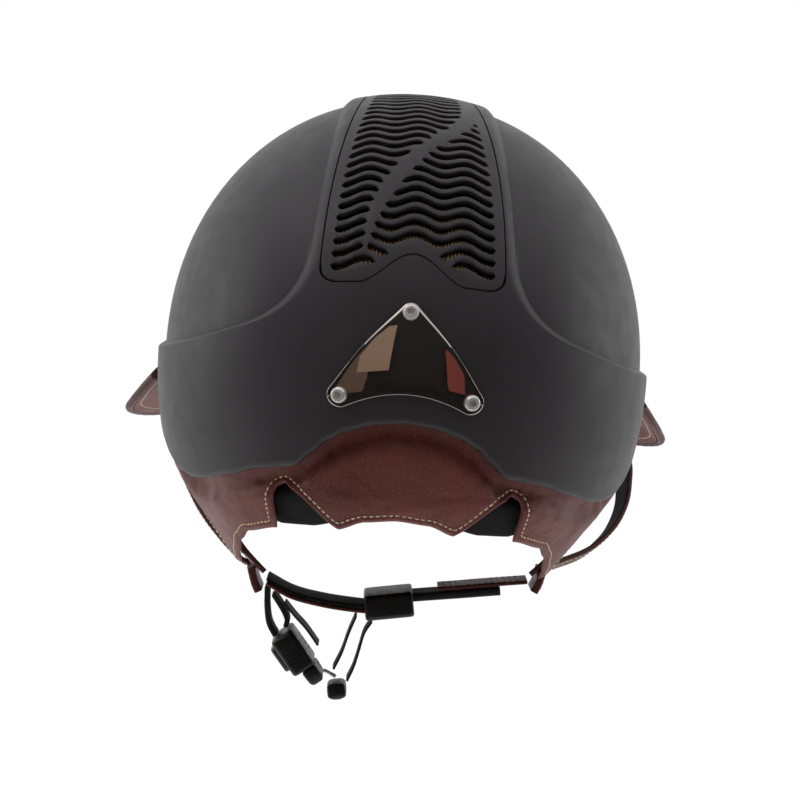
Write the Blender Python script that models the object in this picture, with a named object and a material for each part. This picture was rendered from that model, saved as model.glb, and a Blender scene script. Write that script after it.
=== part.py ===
"""Equestrian riding helmet: vented shell, leather nape and peak, harness with a buckled chin strap.

Frame: +Z up, the front of the helmet faces -Y and the wearer's left is +X. The origin is the centre of
the head opening, level with the widest part of the shell. Shapes are worked out in millimetres and placed
in metres.
"""

import math

import bmesh
import bpy
from mathutils import Vector

MM = 0.001
GAP = 0.35  # between pieces that touch

# Shell: a superellipsoid, slightly wider behind the ears
HALF_WIDTH = 107.8
HALF_LENGTH = 134.0
CROWN_HEIGHT = 119.5
LOWER_DEPTH = 125.0  # how far down the same curve would close below the widest part
ROUNDNESS = 2.1  # exponent of the superellipsoid
EGG = 0.03  # share by which the back is wider than the front
SHELL_WALL = 3.4
FOAM_OUTER = 4.7  # depths below the shell's outer face
FOAM_INNER = 25.0
PAD_INNER = 30.5
PAD_GAP = 1.7  # between the foam and the headband or crown pad

# Raised spine and rear band on the shell
SPINE_RISE = 2.8
BAND_RISE = 3.3
SPINE_RAMP = 7.0
BAND_RAMP = 3.0
BAND_BLEND = 26.0  # how softly the spine flares into the band

# Grille that fills the spine
GRILLE_REAR = math.radians(72.0)  # angles along the spine from the crown, rear positive
GRILLE_ARCH = math.radians(66.1)
GRILLE_FRONT = math.radians(-74.0)
GRILLE_ARCH_HALF = 26.5
GRILLE_THICK = 2.2
CORNER_RADIUS = 7.0
GRILLE_GAP = 0.65
GRILLE_ROWS = 47  # rows of points along it: bars and slots by turns
GRILLE_COLUMNS = 10
SLOT_SHARE = 0.45
WAVE_LENGTH = 19.0
WAVE_HEIGHT = 1.3

# Foam vents and pads
FOAM_LIFT = 7.0  # the foam stops this far above the shell's edge
VENT_ANGLES = [math.radians(a) for a in (-48, -16, 16, 48)]
PAD_LATITUDE = math.radians(52)
HEADBAND_TOP = 26.0
FLANGE_DEPTH = 14.0  # the headband's lower flange covers the foam's edge from here inwards

# Badge plate at the back: a triangle with rounded corners, seen square from behind
BADGE_TIP = (0.0, 27.8, 3.9)  # across, height and radius of its top corner
BADGE_CORNER = (25.0, -5.3, 5.0)  # the same for a lower corner
BADGE_HOLLOW = -3.8  # height of the middle of its lower edge
BADGE_BOW = 1.4  # how far its sides bow outwards
BADGE_SIDE_TURN = math.radians(38.6)  # which way its sides face
BADGE_CORNER_END = math.radians(-117.0)  # which way a lower corner faces where the lower edge starts
BADGE_HUB = (0.0, 6.0)
BADGE_THICK = 1.6
BADGE_LIFT = 0.6
SCREW_HEAD_RADIUS = 3.3
SCREW_SHANK_RADIUS = 1.6
SCREW_PLACES = {"top": (0.0, 27.8), "left": (25.0, -5.3), "right": (-25.0, -5.3)}

# Leather and straps
SKIRT_DEPTH = 4.1  # depth of the leather's outer face where it tucks in under the shell
SKIRT_THICK = 2.2
SKIRT_TUCK = 5.0  # how far the leather reaches up behind the shell's edge
SKIRT_SWELL = 5.0  # how far the leather fills out below the shell's edge
SWELL_BELOW = 5.4  # starting this far under it
SKIRT_TURN = -46.0  # height where the leather starts to curve in under the head
SKIRT_SOFT = 8.0
SKIRT_REACH = 133.0
LINING_GAP = 3.6  # between the leather and the lining behind it
STRAP_WIDTH = 17.0
STRAP_THICK = 2.2
STRAP_TOP = -14.6  # where the front straps start behind the shell
WEBBING_WIDTH = 13.0
KEEPER_WIDTH = 16.0
# Where the straps meet under the ears
JOINTS = {"left": (58.9, 28.0, -102.4), "right": (-65.6, 28.0, -96.4)}

# Chin strap buckle, which hangs aslant below the left joint
BUCKLE_CENTRE = (41.3, 28.0, -131.7)
BUCKLE_ALONG = (-0.62, 0.0, -0.785)  # from the housing to the tongue
BUCKLE_WIDTH = 24.0
BUCKLE_LENGTH = 19.0
BUCKLE_THICK = 11.0
TONGUE_WIDTH = 16.4
TONGUE_THICK = 3.6
TONGUE_OFFSET = -1.5  # the plug lies on this side of the housing's middle
BUTTON_WIDTH = 12.0
BUTTON_LENGTH = 13.0

# Peak
PEAK_SIDE = math.radians(103)  # azimuth from the back where the peak starts
PEAK_CORE = 1.8
PEAK_COVER = 1.1
PEAK_BULGE = 4.0
PEAK_STEPS = 15  # points along half its outline
PEAK_EDGE = [  # half its outline, from the middle of the front to the wearer's left
    (0, -184, -36), (38, -180.5, -36.5), (76, -164, -38), (106, -133, -39.5), (123, -104, -39.5),
    (130.5, -78, -36), (127.5, -62, -30), (121.5, -47, -22.5), (115.5, -36, -15.5),
]
PIPING_RADIUS = 1.9

# Colours and finishes
BLACK_MATT = ((0.045, 0.044, 0.048), 0.55, 0.0)
BLACK_FABRIC = ((0.012, 0.012, 0.013), 0.9, 0.0)
BLACK_PLASTIC = ((0.02, 0.02, 0.022), 0.4, 0.0)
BROWN_LEATHER = ((0.085, 0.028, 0.022), 0.5, 0.0)
DARK_CHROME = ((0.25, 0.22, 0.2), 0.06, 1.0)
BRIGHT_STEEL = ((0.75, 0.73, 0.7), 0.2, 1.0)
GREY_FOAM = ((0.05, 0.05, 0.05), 0.95, 0.0)
BRONZE_MESH = ((0.2, 0.14, 0.09), 0.45, 1.0)
CUTTER = ("cutter", BLACK_FABRIC)


# ---------- the shell's surface ----------


def signed_power(value, exponent):
    return math.copysign(abs(value) ** exponent, value)


def mix(a, b, share):
    return a + (b - a) * share


def clamp(value, low=0.0, high=1.0):
    return max(low, min(high, value))


def smooth(share):
    share = clamp(share)
    return share * share * (3 - 2 * share)


def through(knots, at):
    """Height at a place on a smooth line through a few (place, height) knots."""
    if at <= knots[0][0]:
        return knots[0][1]
    for (a, low), (b, high) in zip(knots, knots[1:]):
        if at <= b:
            return mix(low, high, smooth((at - a) / (b - a)) * 0.5 + (at - a) / (b - a) * 0.5)
    return knots[-1][1]


def latitude_at(height, depth):
    """Latitude where the surface at this depth reaches this height."""
    reach = (CROWN_HEIGHT if height > 0 else LOWER_DEPTH) - depth
    return math.copysign(math.asin(min(1.0, (abs(height) / reach) ** (ROUNDNESS / 2))), height)


def rise(x, y, z):
    """Height of the raised spine and band above the base surface, at a point on it."""
    side = abs(x)
    flare = 11.0 if y > 0 else 5.0
    spine = 33.0 + flare * (1 - (max(z, 0.0) / CROWN_HEIGHT) ** 2) - side
    band_top = 2.6 + (110.0 - side) * 0.4 if y > 0 else 3.0 - 0.03 * abs(y)
    band = band_top - z
    share = clamp(0.5 + 0.5 * (spine - band) / BAND_BLEND)
    inside = mix(band, spine, share) + BAND_BLEND * share * (1 - share)
    ramp = mix(BAND_RAMP, SPINE_RAMP, share)
    return mix(BAND_RISE, SPINE_RISE, share) * math.sin(clamp(inside / ramp) * math.pi / 2)


def shell_point(azimuth, latitude, depth=0.0, lift=False):
    """Point at an azimuth from the back (towards +X) and a latitude; lift follows the raised parts."""
    power = 2 / ROUNDNESS
    across = signed_power(math.cos(latitude), power)
    tall = (CROWN_HEIGHT if latitude > 0 else LOWER_DEPTH) - depth
    x = (HALF_WIDTH - depth) * across * signed_power(math.sin(azimuth), power)
    y = (HALF_LENGTH - depth) * across * signed_power(math.cos(azimuth), power)
    z = tall * signed_power(math.sin(latitude), power)
    return lifted(x * (1 + EGG * y / HALF_LENGTH), y, z, lift)


def lifted(x, y, z, lift):
    point = Vector((x, y, z))
    if not lift:
        return point
    tall = CROWN_HEIGHT if z > 0 else LOWER_DEPTH
    normal = Vector((x / HALF_WIDTH**2, y / HALF_LENGTH**2, z / tall**2)).normalized()
    return point + normal * rise(x, y, z)


def spine_point(angle, x, depth=0.0, lift=True):
    """Point at an angle along the spine from the crown (rear positive) and a distance x from the middle."""
    power = 2 / ROUNDNESS
    across = (1 - (abs(x) / (HALF_WIDTH - depth)) ** ROUNDNESS) ** (1 / ROUNDNESS)
    tall = (CROWN_HEIGHT if abs(angle) < math.pi / 2 else LOWER_DEPTH) - depth
    y = (HALF_LENGTH - depth) * across * signed_power(math.sin(angle), power)
    z = tall * across * signed_power(math.cos(angle), power)
    base = lifted(x * (1 + EGG * y / HALF_LENGTH), y, z, False)
    if not lift:
        return base
    outer = spine_point(angle, x, 0.0, False)
    return base + (lifted(*outer, True) - outer)


RIM = [  # azimuth from the back in degrees, height of the shell's lower edge
    (0, -14.0), (5.6, -15.3), (10.6, -18.3), (14.8, -22.5), (18.5, -28.5), (22.1, -34.4), (31.6, -37.4),
    (42, -42.5), (52, -46.5), (58, -47.8), (64, -47.0), (69, -44.0), (75, -38.0), (82, -29.5), (90, -21.5),
    (105, -15.5), (120, -13.0), (180, -12.0),
]
NAPE_EDGE = [  # the same for the leather's lower edge, with the notch behind the ear strap
    (0, -57.5), (7, -59.0), (13.5, -63.5), (23.5, -48.0), (26.5, -45.5), (28.8, -47.5), (31.5, -66.5),
    (43.5, -71.0), (50, -76.5), (58, -84.5), (65, -91.0), (69, -92.5), (73, -90.0), (79, -77.0),
    (86, -58.0), (92, -39.0), (98, -25.0),
]
LINING_EDGE = [(0, -55.5), (13, -60.5), (22, -64.0), (32, -65.0), (38, -62.0)]


def around(azimuth):
    """The azimuth as degrees from the back, 0 to 180 on either side."""
    turned = abs(math.degrees(azimuth)) % 360
    return min(turned, 360 - turned)


def rim_height(azimuth):
    return through(RIM, around(azimuth))


# ---------- mesh helpers ----------


def material(name, finish):
    found = bpy.data.materials.get(name)
    if found:
        return found
    colour, roughness, metallic = finish
    made = bpy.data.materials.new(name)
    made.use_nodes = True
    shader = made.node_tree.nodes["Principled BSDF"]
    shader.inputs["Base Color"].default_value = (*colour, 1.0)
    shader.inputs["Roughness"].default_value = roughness
    shader.inputs["Metallic"].default_value = metallic
    made.diffuse_color = (*colour, 1.0)
    return made


def add_object(name, points, faces, look, origin=(0, 0, 0)):
    """A closed mesh from points in millimetres; origin is where the piece turns or slides from."""
    start = Vector(origin)
    mesh = bpy.data.meshes.new(name)
    mesh.from_pydata([(Vector(p) - start) * MM for p in points], [], faces)
    tidy = bmesh.new()
    tidy.from_mesh(mesh)
    bmesh.ops.recalc_face_normals(tidy, faces=tidy.faces)
    tidy.to_mesh(mesh)
    tidy.free()
    mesh.shade_smooth()
    mesh.set_sharp_from_angle(angle=math.radians(35))
    made = bpy.data.objects.new(name, mesh)
    made.location = start * MM
    made.data.materials.append(material(*look))
    bpy.context.scene.collection.objects.link(made)
    return made


def grid_faces(columns, rows, start, turn_over, closed):
    faces = []
    for i in range(columns if closed else columns - 1):
        for j in range(rows - 1):
            a, b = start + i * rows + j, start + (i + 1) % columns * rows + j
            for triangle in ((a, b, b + 1), (a, b + 1, a + 1)):
                faces.append(triangle[::-1] if turn_over else triangle)
    return faces


def sheet(name, columns, rows, outer, inner, look, closed=False, origin=(0, 0, 0)):
    """A closed solid between two surfaces, each a function of (u, v) from 0 to 1."""
    last = columns if closed else columns - 1
    spots = [(i / last, j / (rows - 1)) for i in range(columns) for j in range(rows)]
    points = [outer(u, v) for u, v in spots] + [inner(u, v) for u, v in spots]
    back = len(spots)
    faces = grid_faces(columns, rows, 0, False, closed) + grid_faces(columns, rows, back, True, closed)
    for i in range(columns if closed else columns - 1):
        a, b = i * rows, (i + 1) % columns * rows
        faces.append((a, a + back, b + back, b))
        a, b = a + rows - 1, b + rows - 1
        faces.append((b, b + back, a + back, a))
    if not closed:
        for j in range(rows - 1):
            faces.append((j + 1, j + 1 + back, j + back, j))
            a = (columns - 1) * rows + j
            faces.append((a, a + back, a + 1 + back, a + 1))
    return add_object(name, points, faces, look, origin)


def bowl(name, columns, rows, outer, inner, look):
    """A closed solid between two domes, each a function of (u, v), with v = 0 at the crown or hub."""
    points, faces, rings = [], [], []
    for surface, turn_over in ((outer, False), (inner, True)):
        top = len(points)
        points.append(surface(0, 0))
        start = len(points)
        points += [surface(i / columns, (j + 1) / rows) for i in range(columns) for j in range(rows)]
        faces += grid_faces(columns, rows, start, turn_over, True)
        for i in range(columns):
            a, b = start + i * rows, start + (i + 1) % columns * rows
            faces.append((top, a, b) if turn_over else (top, b, a))
        rings.append([start + i * rows + rows - 1 for i in range(columns)])
    out, back = rings
    for i in range(columns):
        k = (i + 1) % columns
        faces.append((out[i], back[i], back[k], out[k]))
    return add_object(name, points, faces, look)


def curve_through(knots, count):
    """Points evenly stepped along a smooth curve through the knots (Catmull-Rom)."""
    knots = [Vector(k) for k in knots]
    ends = [knots[0] * 2 - knots[1], *knots, knots[-1] * 2 - knots[-2]]
    points = []
    for n in range(count):
        at = n / (count - 1) * (len(knots) - 1)
        i = min(int(at), len(knots) - 2)
        t = at - i
        a, b, c, d = ends[i : i + 4]
        points.append(
            0.5 * (2 * b + (c - a) * t + (2 * a - 5 * b + 4 * c - d) * t * t + (3 * b - a - 3 * c + d) * t**3)
        )
    return points


def ribbon(name, knots, facing, width, thick, look, count=14, origin=(0, 0, 0), taper=1.0):
    """A flat strap along knots; facing gives its outward normal at its start and end."""
    path = curve_through(knots, count)
    start_normal, end_normal = (Vector(f).normalized() for f in facing)

    def place(u, v, side):
        i = round(u * (count - 1))
        along = (path[min(i + 1, count - 1)] - path[max(i - 1, 0)]).normalized()
        normal = start_normal.lerp(end_normal, u)
        normal = (normal - along * normal.dot(along)).normalized()
        across = along.cross(normal)
        return path[i] + across * (v - 0.5) * width * mix(1.0, taper, u) + normal * side * thick / 2

    return sheet(
        name, count, 3, lambda u, v: place(u, v, 1), lambda u, v: place(u, v, -1), look, origin=origin
    )


def tube(name, path, radius, look, closed=False, sides=8, origin=(0, 0, 0)):
    """A round bar along a path, with closed ends."""
    count = len(path)
    points, faces = [], []
    before = Vector((0, 0, 1))
    for i, centre in enumerate(path):
        after = path[(i + 1) % count] if closed else path[min(i + 1, count - 1)]
        last = path[i - 1] if closed or i else path[0]
        along = (Vector(after) - Vector(last)).normalized()
        across = before - along * before.dot(along)
        if across.length < 0.1:
            across = Vector((1, 0, 0)) - along * along.x
        across.normalize()
        before = across
        up = along.cross(across)
        for k in range(sides):
            turn = 2 * math.pi * k / sides
            points.append(Vector(centre) + (across * math.cos(turn) + up * math.sin(turn)) * radius)
    for i in range(count if closed else count - 1):
        a, b = i * sides, (i + 1) % count * sides
        faces += [(a + k, a + (k + 1) % sides, b + (k + 1) % sides, b + k) for k in range(sides)]
    if not closed:
        faces += [tuple(range(sides))[::-1], tuple(range((count - 1) * sides, count * sides))]
    return add_object(name, points, faces, look, origin)


def cut(target, cutter):
    """Takes the cutter out of the target, and keeps the cutter as a hidden helper."""
    step = target.modifiers.new("cut " + cutter.name, "BOOLEAN")
    step.operation = "DIFFERENCE"
    step.object = cutter
    step.solver = "EXACT"
    cutter.hide_render = True
    cutter.display_type = "WIRE"


# ---------- shell, foam and pads ----------


def dome_surface(depth, lift, rim_lift=0.0):
    """A function of (u, v) over the whole dome: u round it, v from the crown to the rim."""

    def place(u, v):
        azimuth = u * 2 * math.pi
        rim = latitude_at(rim_height(azimuth) + rim_lift, depth)
        return shell_point(azimuth, mix(math.pi / 2, rim, v), depth, lift)

    return place


def grille_half_width(angle):
    """Half the grille's width along the spine: widest at the back, narrow at the crown."""
    behind = clamp(angle / GRILLE_REAR)
    ahead = clamp(angle / GRILLE_FRONT)
    return 22.5 + 13.5 * smooth(behind**0.8) + 2.5 * smooth(ahead)


def grille_point(u, v, depth, inset=0.0):
    """Point on the grille: u from its back edge to its front edge, v across it, inset from its outline."""
    x_share = 2 * v - 1
    across = abs(x_share) * (grille_half_width(GRILLE_REAR) - inset)
    arch = math.cos(clamp(across / GRILLE_ARCH_HALF) * math.pi / 2) ** 2
    near, far = inset / CROWN_HEIGHT, CORNER_RADIUS / CROWN_HEIGHT
    rear = mix(GRILLE_REAR, GRILLE_ARCH, arch) - near
    front = GRILLE_FRONT + 1.8 * near + 0.05 * abs(x_share) ** 3
    angle = mix(rear, front, u)
    inward = min(abs(angle - rear), abs(angle - front)) / far
    corner = CORNER_RADIUS * (1 - math.sqrt(max(0.0, 1 - (1 - clamp(inward)) ** 2)))
    x = x_share * (grille_half_width(angle) - inset - corner)
    outer = spine_point(angle, x)
    base = spine_point(angle, x, 0.0, False)
    inward_normal = Vector((base.x / HALF_WIDTH**2, base.y / HALF_LENGTH**2, base.z / CROWN_HEIGHT**2))
    return outer - inward_normal.normalized() * depth


def slotted_panel(name, look):
    """The grille: wavy slots in rows, split by a slanting ribbon that stays solid."""
    rows, columns = GRILLE_ROWS, GRILLE_COLUMNS
    rim_share = 0.075

    def place(i, j, depth):
        if i in (0, rows - 1) or j in (0, columns - 1):
            return grille_point(i / (rows - 1), j / (columns - 1), depth, GRILLE_GAP)
        u = clamp((i - SLOT_SHARE * (i % 2) * 0.5) / (rows - 1))
        ribbon = 0.5 + 0.3 * math.sin((u - 0.22) * 5.0)
        ribbon = clamp(ribbon, 0.26, 0.74)
        low, high = (rim_share, ribbon - 0.05), (ribbon + 0.05, 1 - rim_share)
        stops = [0.0, *[mix(*low, k / 3) for k in range(4)], *[mix(*high, k / 3) for k in range(4)], 1.0]
        v = stops[j]
        across = (2 * v - 1) * 30.0
        wave = math.sin(2 * math.pi * across / WAVE_LENGTH) * WAVE_HEIGHT
        shift = wave / ((GRILLE_REAR - GRILLE_FRONT) * CROWN_HEIGHT)
        return grille_point(clamp(u + shift), v, depth, GRILLE_GAP)

    solid = {
        (i, j)
        for i in range(rows - 1)
        for j in range(columns - 1)
        if i % 2 == 0 or i > rows - 3 or j in (0, 4, columns - 2) or i < 2
    }
    spots = [(i, j) for i in range(rows) for j in range(columns)]
    points = [place(i, j, depth) for depth in (0.0, GRILLE_THICK) for i, j in spots]
    back = rows * columns
    faces = []
    for i, j in solid:
        a = i * columns + j
        quad = (a, a + 1, a + columns + 1, a + columns)
        for triangle in (quad[:3], (quad[2], quad[3], quad[0])):
            faces += [triangle, tuple(k + back for k in reversed(triangle))]
        sides = {(i, j - 1): (3, 0), (i, j + 1): (1, 2), (i - 1, j): (0, 1), (i + 1, j): (2, 3)}
        for neighbour, (first, second) in sides.items():
            if neighbour not in solid:
                one, two = quad[first], quad[second]
                faces.append((two, one, one + back, two + back))
    return add_object(name, points, faces, look)


def outer_shell():
    shell = bowl(
        "outer_shell", 80, 10, dome_surface(0.0, True), dome_surface(SHELL_WALL, False),
        ("matt_shell", BLACK_MATT),
    )
    window = sheet(
        "grille_cutter", GRILLE_ROWS, GRILLE_COLUMNS,
        lambda u, v: grille_point(u, v, -2.0), lambda u, v: grille_point(u, v, 8.0), CUTTER,
    )
    cut(shell, window)
    for name, place in SCREW_PLACES.items():
        bore = screw_bar(name + "_screw_bore", place, SCREW_SHANK_RADIUS + GAP, -8.0, 14.0, CUTTER)
        cut(shell, bore)
    return shell


def grille():
    slotted_panel("grille_panel", ("matt_shell", BLACK_MATT))
    sheet(
        "grille_mesh", 18, 6,
        lambda u, v: grille_point(u, v, GRILLE_THICK + 0.9, 3.0),
        lambda u, v: grille_point(u, v, GRILLE_THICK + 1.7, 3.0),
        ("bronze_mesh", BRONZE_MESH),
    )


def liner():
    """Foam, crown pad and the padded headband, one inside the other."""

    def foam(depth):
        return dome_surface(depth, False, FOAM_LIFT)

    block = bowl("impact_liner", 44, 9, foam(FOAM_OUTER), foam(FOAM_INNER), ("foam", GREY_FOAM))
    for k, angle in enumerate(VENT_ANGLES):
        centre = spine_point(angle, 0.0, 0.0, False)
        vent = loft(
            f"vent_cutter_{k}", [(-34, 20, 13), (6, 22, 15)], centre, (Vector((1, 0, 0)), centre), CUTTER
        )
        cut(block, vent)

    def pad(depth):
        return lambda u, v: shell_point(u * 2 * math.pi, mix(math.pi / 2, PAD_LATITUDE, v), depth)

    bowl("crown_pad", 24, 4, pad(FOAM_INNER + PAD_GAP), pad(PAD_INNER), ("pad_fabric", BLACK_FABRIC))

    def band(inset):
        def place(u, v):
            azimuth = u * 2 * math.pi
            under = rim_height(azimuth) + FOAM_LIFT - 1.6 - inset
            depth = FOAM_INNER + PAD_GAP + inset * 1.8
            if v <= 0.25:
                depth = mix(FLANGE_DEPTH, depth, v / 0.25)
                return shell_point(azimuth, latitude_at(under, depth), depth)
            height = mix(under, HEADBAND_TOP - inset * 0.4, (v - 0.25) / 0.75)
            return shell_point(azimuth, latitude_at(height, depth), depth)

        return place

    sheet("headband", 44, 5, band(0.0), band(2.6), ("pad_fabric", BLACK_FABRIC), closed=True)


# ---------- badge and its screws ----------


def badge_point(x, z, depth):
    """Point on the plate's curved face, for a place seen square from behind."""
    share = (abs(x) / HALF_WIDTH) ** ROUNDNESS
    tall = (abs(z) / (CROWN_HEIGHT if z > 0 else LOWER_DEPTH)) ** ROUNDNESS
    y = HALF_LENGTH * (1 - share - tall) ** (1 / ROUNDNESS)
    base = Vector((x, y, z))
    tallness = CROWN_HEIGHT if z > 0 else LOWER_DEPTH
    normal = Vector((x / HALF_WIDTH**2, y / HALF_LENGTH**2, z / tallness**2)).normalized()
    return base + normal * (rise(x, y, z) - depth)


def badge_outline():
    """The plate's outline, from its tip down the wearer's left side and back up the right."""

    def arc(corner, start, end, steps):
        x, z, radius = corner
        turns = [mix(start, end, i / steps) for i in range(steps + 1)]
        return [(x + radius * math.cos(turn), z + radius * math.sin(turn)) for turn in turns]

    tip = arc(BADGE_TIP, math.pi / 2, BADGE_SIDE_TURN, 2)
    corner = arc(BADGE_CORNER, BADGE_SIDE_TURN, BADGE_CORNER_END, 6)
    side, lower = [], []
    for i in range(1, 5):
        bow = BADGE_BOW * math.sin(math.pi * i / 5)
        x, z = (mix(a, b, i / 5) for a, b in zip(tip[-1], corner[0]))
        side.append((x + bow * math.cos(BADGE_SIDE_TURN), z + bow * math.sin(BADGE_SIDE_TURN)))
        share = 1 - i / 5
        lower.append((corner[-1][0] * share, mix(BADGE_HOLLOW, corner[-1][1], share**2)))
    half = [*tip, *side, *corner, *lower]
    return [*half, (0.0, BADGE_HOLLOW), *[(-x, z) for x, z in half[:0:-1]]]


def badge():
    outline = badge_outline()

    def place(lift):
        def point(u, v):
            spot = outline[round(u * len(outline)) % len(outline)]
            x, z = (mix(hub, edge, v) for hub, edge in zip(BADGE_HUB, spot))
            return badge_point(x, z, -lift)

        return point

    plate = bowl(
        "badge_plate", len(outline), 5, place(BADGE_LIFT + BADGE_THICK), place(BADGE_LIFT),
        ("dark_chrome", DARK_CHROME),
    )
    for name, spot in SCREW_PLACES.items():
        cut(plate, screw_bar(name + "_plate_bore", spot, SCREW_SHANK_RADIUS + GAP, -8.0, 14.0, CUTTER))
        badge_screw("badge_screw_" + name, spot)


def screw_axis(spot):
    x, z = spot
    outer, inner = badge_point(x, z, 0.0), badge_point(x, z, 1.0)
    return outer, (outer - inner).normalized()


def screw_bar(name, spot, radius, start, end, look):
    """A straight bar through the plate and the shell; start and end are depths."""
    centre, outward = screw_axis(spot)
    return tube(name, [centre - outward * start, centre - outward * end], radius, look, sides=12)


def badge_screw(name, spot):
    """Button head with a hex recess, turned as one ring stack on its axis."""
    centre, outward = screw_axis(spot)
    head = BADGE_LIFT + BADGE_THICK + 0.45
    rings = [
        (head + 0.9, 1.3), (head + 1.9, 1.3), (head + 1.9, 2.1), (head + 1.3, 2.9),
        (head + 0.4, SCREW_HEAD_RADIUS),
        (head, SCREW_HEAD_RADIUS), (head, SCREW_SHANK_RADIUS), (-SHELL_WALL - 0.4, SCREW_SHANK_RADIUS),
    ]
    turned(name, rings, centre, outward, ("steel", BRIGHT_STEEL))


def turned(name, rings, centre, axis, look, sides=12, origin=(0, 0, 0)):
    """A turned piece: rings are (height on the axis, radius), with flat ends."""
    axis = Vector(axis).normalized()
    across = Vector((1, 0, 0)) if abs(axis.x) < 0.9 else Vector((0, 1, 0))
    across = (across - axis * across.dot(axis)).normalized()
    up = axis.cross(across)
    points = []
    for height, radius in rings:
        for k in range(sides):
            turn = 2 * math.pi * k / sides
            reach = across * math.cos(turn) + up * math.sin(turn)
            points.append(Vector(centre) + axis * height + reach * radius)
    faces = [tuple(range(sides)), tuple(range((len(rings) - 1) * sides, len(rings) * sides))[::-1]]
    for i in range(len(rings) - 1):
        a, b = i * sides, (i + 1) * sides
        faces += [(a + k, b + k, b + (k + 1) % sides, a + (k + 1) % sides) for k in range(sides)]
    return add_object(name, points, faces, look, origin)


def loft(name, sections, centre, axes, look, origin=(0, 0, 0), chamfer=0.22):
    """A solid along an axis: sections are (place on it, width, thickness), and axes are (width, along)."""
    wide, along = (Vector(a).normalized() for a in axes)
    wide = (wide - along * wide.dot(along)).normalized()
    thick = wide.cross(along)
    corners = []
    for sx, sy in ((1, 1), (-1, 1), (-1, -1), (1, -1)):
        pair = [(sx, sy * (1 - 2 * chamfer)), (sx * (1 - 2 * chamfer * 0.5), sy)]
        corners += pair if sx == sy else pair[::-1]
    points = [
        Vector(centre) + along * place + wide * cx * width / 2 + thick * cy * depth / 2
        for place, width, depth in sections
        for cx, cy in corners
    ]
    count = len(corners)
    faces = [tuple(range(count)), tuple(range((len(sections) - 1) * count, len(sections) * count))[::-1]]
    for i in range(len(sections) - 1):
        a, b = i * count, (i + 1) * count
        faces += [(a + k, b + k, b + (k + 1) % count, a + (k + 1) % count) for k in range(count)]
    return add_object(name, points, faces, look, origin)


# ---------- leather below the shell ----------


def skirt_point(azimuth, height, depth):
    """Point on the leather that hangs below the shell and curves in under the head."""
    below = rim_height(azimuth) - SWELL_BELOW - height
    swell = SKIRT_SWELL * smooth(below / 10.0)
    drop = max(0.0, SKIRT_TURN - height)
    narrow = 1 - drop * drop / (drop + SKIRT_SOFT) / SKIRT_REACH
    section = shell_point(azimuth, latitude_at(max(height, SKIRT_TURN), depth - swell), depth - swell)
    return Vector((section.x * narrow, section.y * narrow, height))


def skirt(name, start, end, columns, rows, edge, depths, look):
    """A band of leather or lining from behind the shell's edge down to its own edge."""

    def place(depth):
        def point(u, v):
            azimuth = math.radians(mix(start, end, u))
            rim = rim_height(azimuth)
            if v <= 0.2:
                return skirt_point(azimuth, rim + mix(SKIRT_TUCK, -1.5, v / 0.2), depth)
            return skirt_point(azimuth, mix(rim - 1.5, edge(azimuth), (v - 0.2) / 0.8), depth)

        return point

    sheet(name, columns, rows, place(depths[0]), place(depths[1]), look)


def leather():
    outer, inner = SKIRT_DEPTH, SKIRT_DEPTH + SKIRT_THICK
    leather_look, lining_look = ("brown_leather", BROWN_LEATHER), ("black_lining", BLACK_FABRIC)
    skirt(
        "nape_leather", -98, 98, 80, 11, lambda a: through(NAPE_EDGE, around(a)), (outer, inner),
        leather_look,
    )
    skirt(
        "nape_lining", -38, 38, 22, 6, lambda a: through(LINING_EDGE, around(a)),
        (inner + LINING_GAP, inner + LINING_GAP + 2.0),
        lining_look,
    )
    skirt(
        "brow_leather", 122, 238, 26, 6, lambda a: rim_height(a) - 3.5, (outer, inner), leather_look
    )


# ---------- peak ----------


def peak_surface(u, v):
    """The peak's middle surface: u round the front from left to right, v from the shell outwards."""
    turn = mix(PEAK_SIDE, 2 * math.pi - PEAK_SIDE, u)
    side = abs(2 * u - 1)
    inner = shell_point(turn, latitude_at(-6.5 - 4.0 * side**3, 0.0), 0.0, True)
    inner += Vector((inner.x, inner.y, 0)).normalized() * (1.4 + 2.4 * side**2)
    knots = [Vector(k) for k in PEAK_EDGE]
    outer = curve_through(knots, PEAK_STEPS)[round(side * (PEAK_STEPS - 1))]
    if u > 0.5:
        outer = Vector((-outer.x, outer.y, outer.z))
    bulge = PEAK_BULGE * 4 * v * (1 - v) * (1 - side**4)
    return inner.lerp(outer, v) + Vector((0, 0, bulge))


def peak_layer(lift):
    """The peak's surface moved along its normal."""

    def point(u, v):
        step = 1 / (2 * (PEAK_STEPS - 1))
        low, high = max(u - step, 0.0), min(u + step, 1.0)
        near, far = max(v - 0.05, 0.0), min(v + 0.05, 1.0)
        along = peak_surface(high, v) - peak_surface(low, v)
        out = peak_surface(u, far) - peak_surface(u, near)
        return peak_surface(u, v) + along.cross(out).normalized() * lift

    return point


def peak():
    columns, rows = 2 * PEAK_STEPS - 1, 5
    half = PEAK_CORE / 2
    sheet("peak_core", columns, rows, peak_layer(half), peak_layer(-half), ("black_plastic", BLACK_PLASTIC))
    look = ("brown_leather", BROWN_LEATHER)
    top, under = half + GAP, -half - GAP
    sheet("peak_cover_top", columns, rows, peak_layer(top + PEAK_COVER), peak_layer(top), look)
    sheet("peak_cover_under", columns, rows, peak_layer(under), peak_layer(under - PEAK_COVER), look)
    rim = []
    for i in range(columns):
        u = i / (columns - 1)
        edge, inside = peak_surface(u, 1.0), peak_surface(u, 0.85)
        along = (peak_surface(min(u + 0.03, 1.0), 1.0) - peak_surface(max(u - 0.03, 0.0), 1.0)).normalized()
        outward = edge - inside
        outward = (outward - along * outward.dot(along)).normalized()
        rim.append(edge + outward * (PIPING_RADIUS + 0.6))
    tube("peak_piping", rim, PIPING_RADIUS, look, sides=8)


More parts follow.
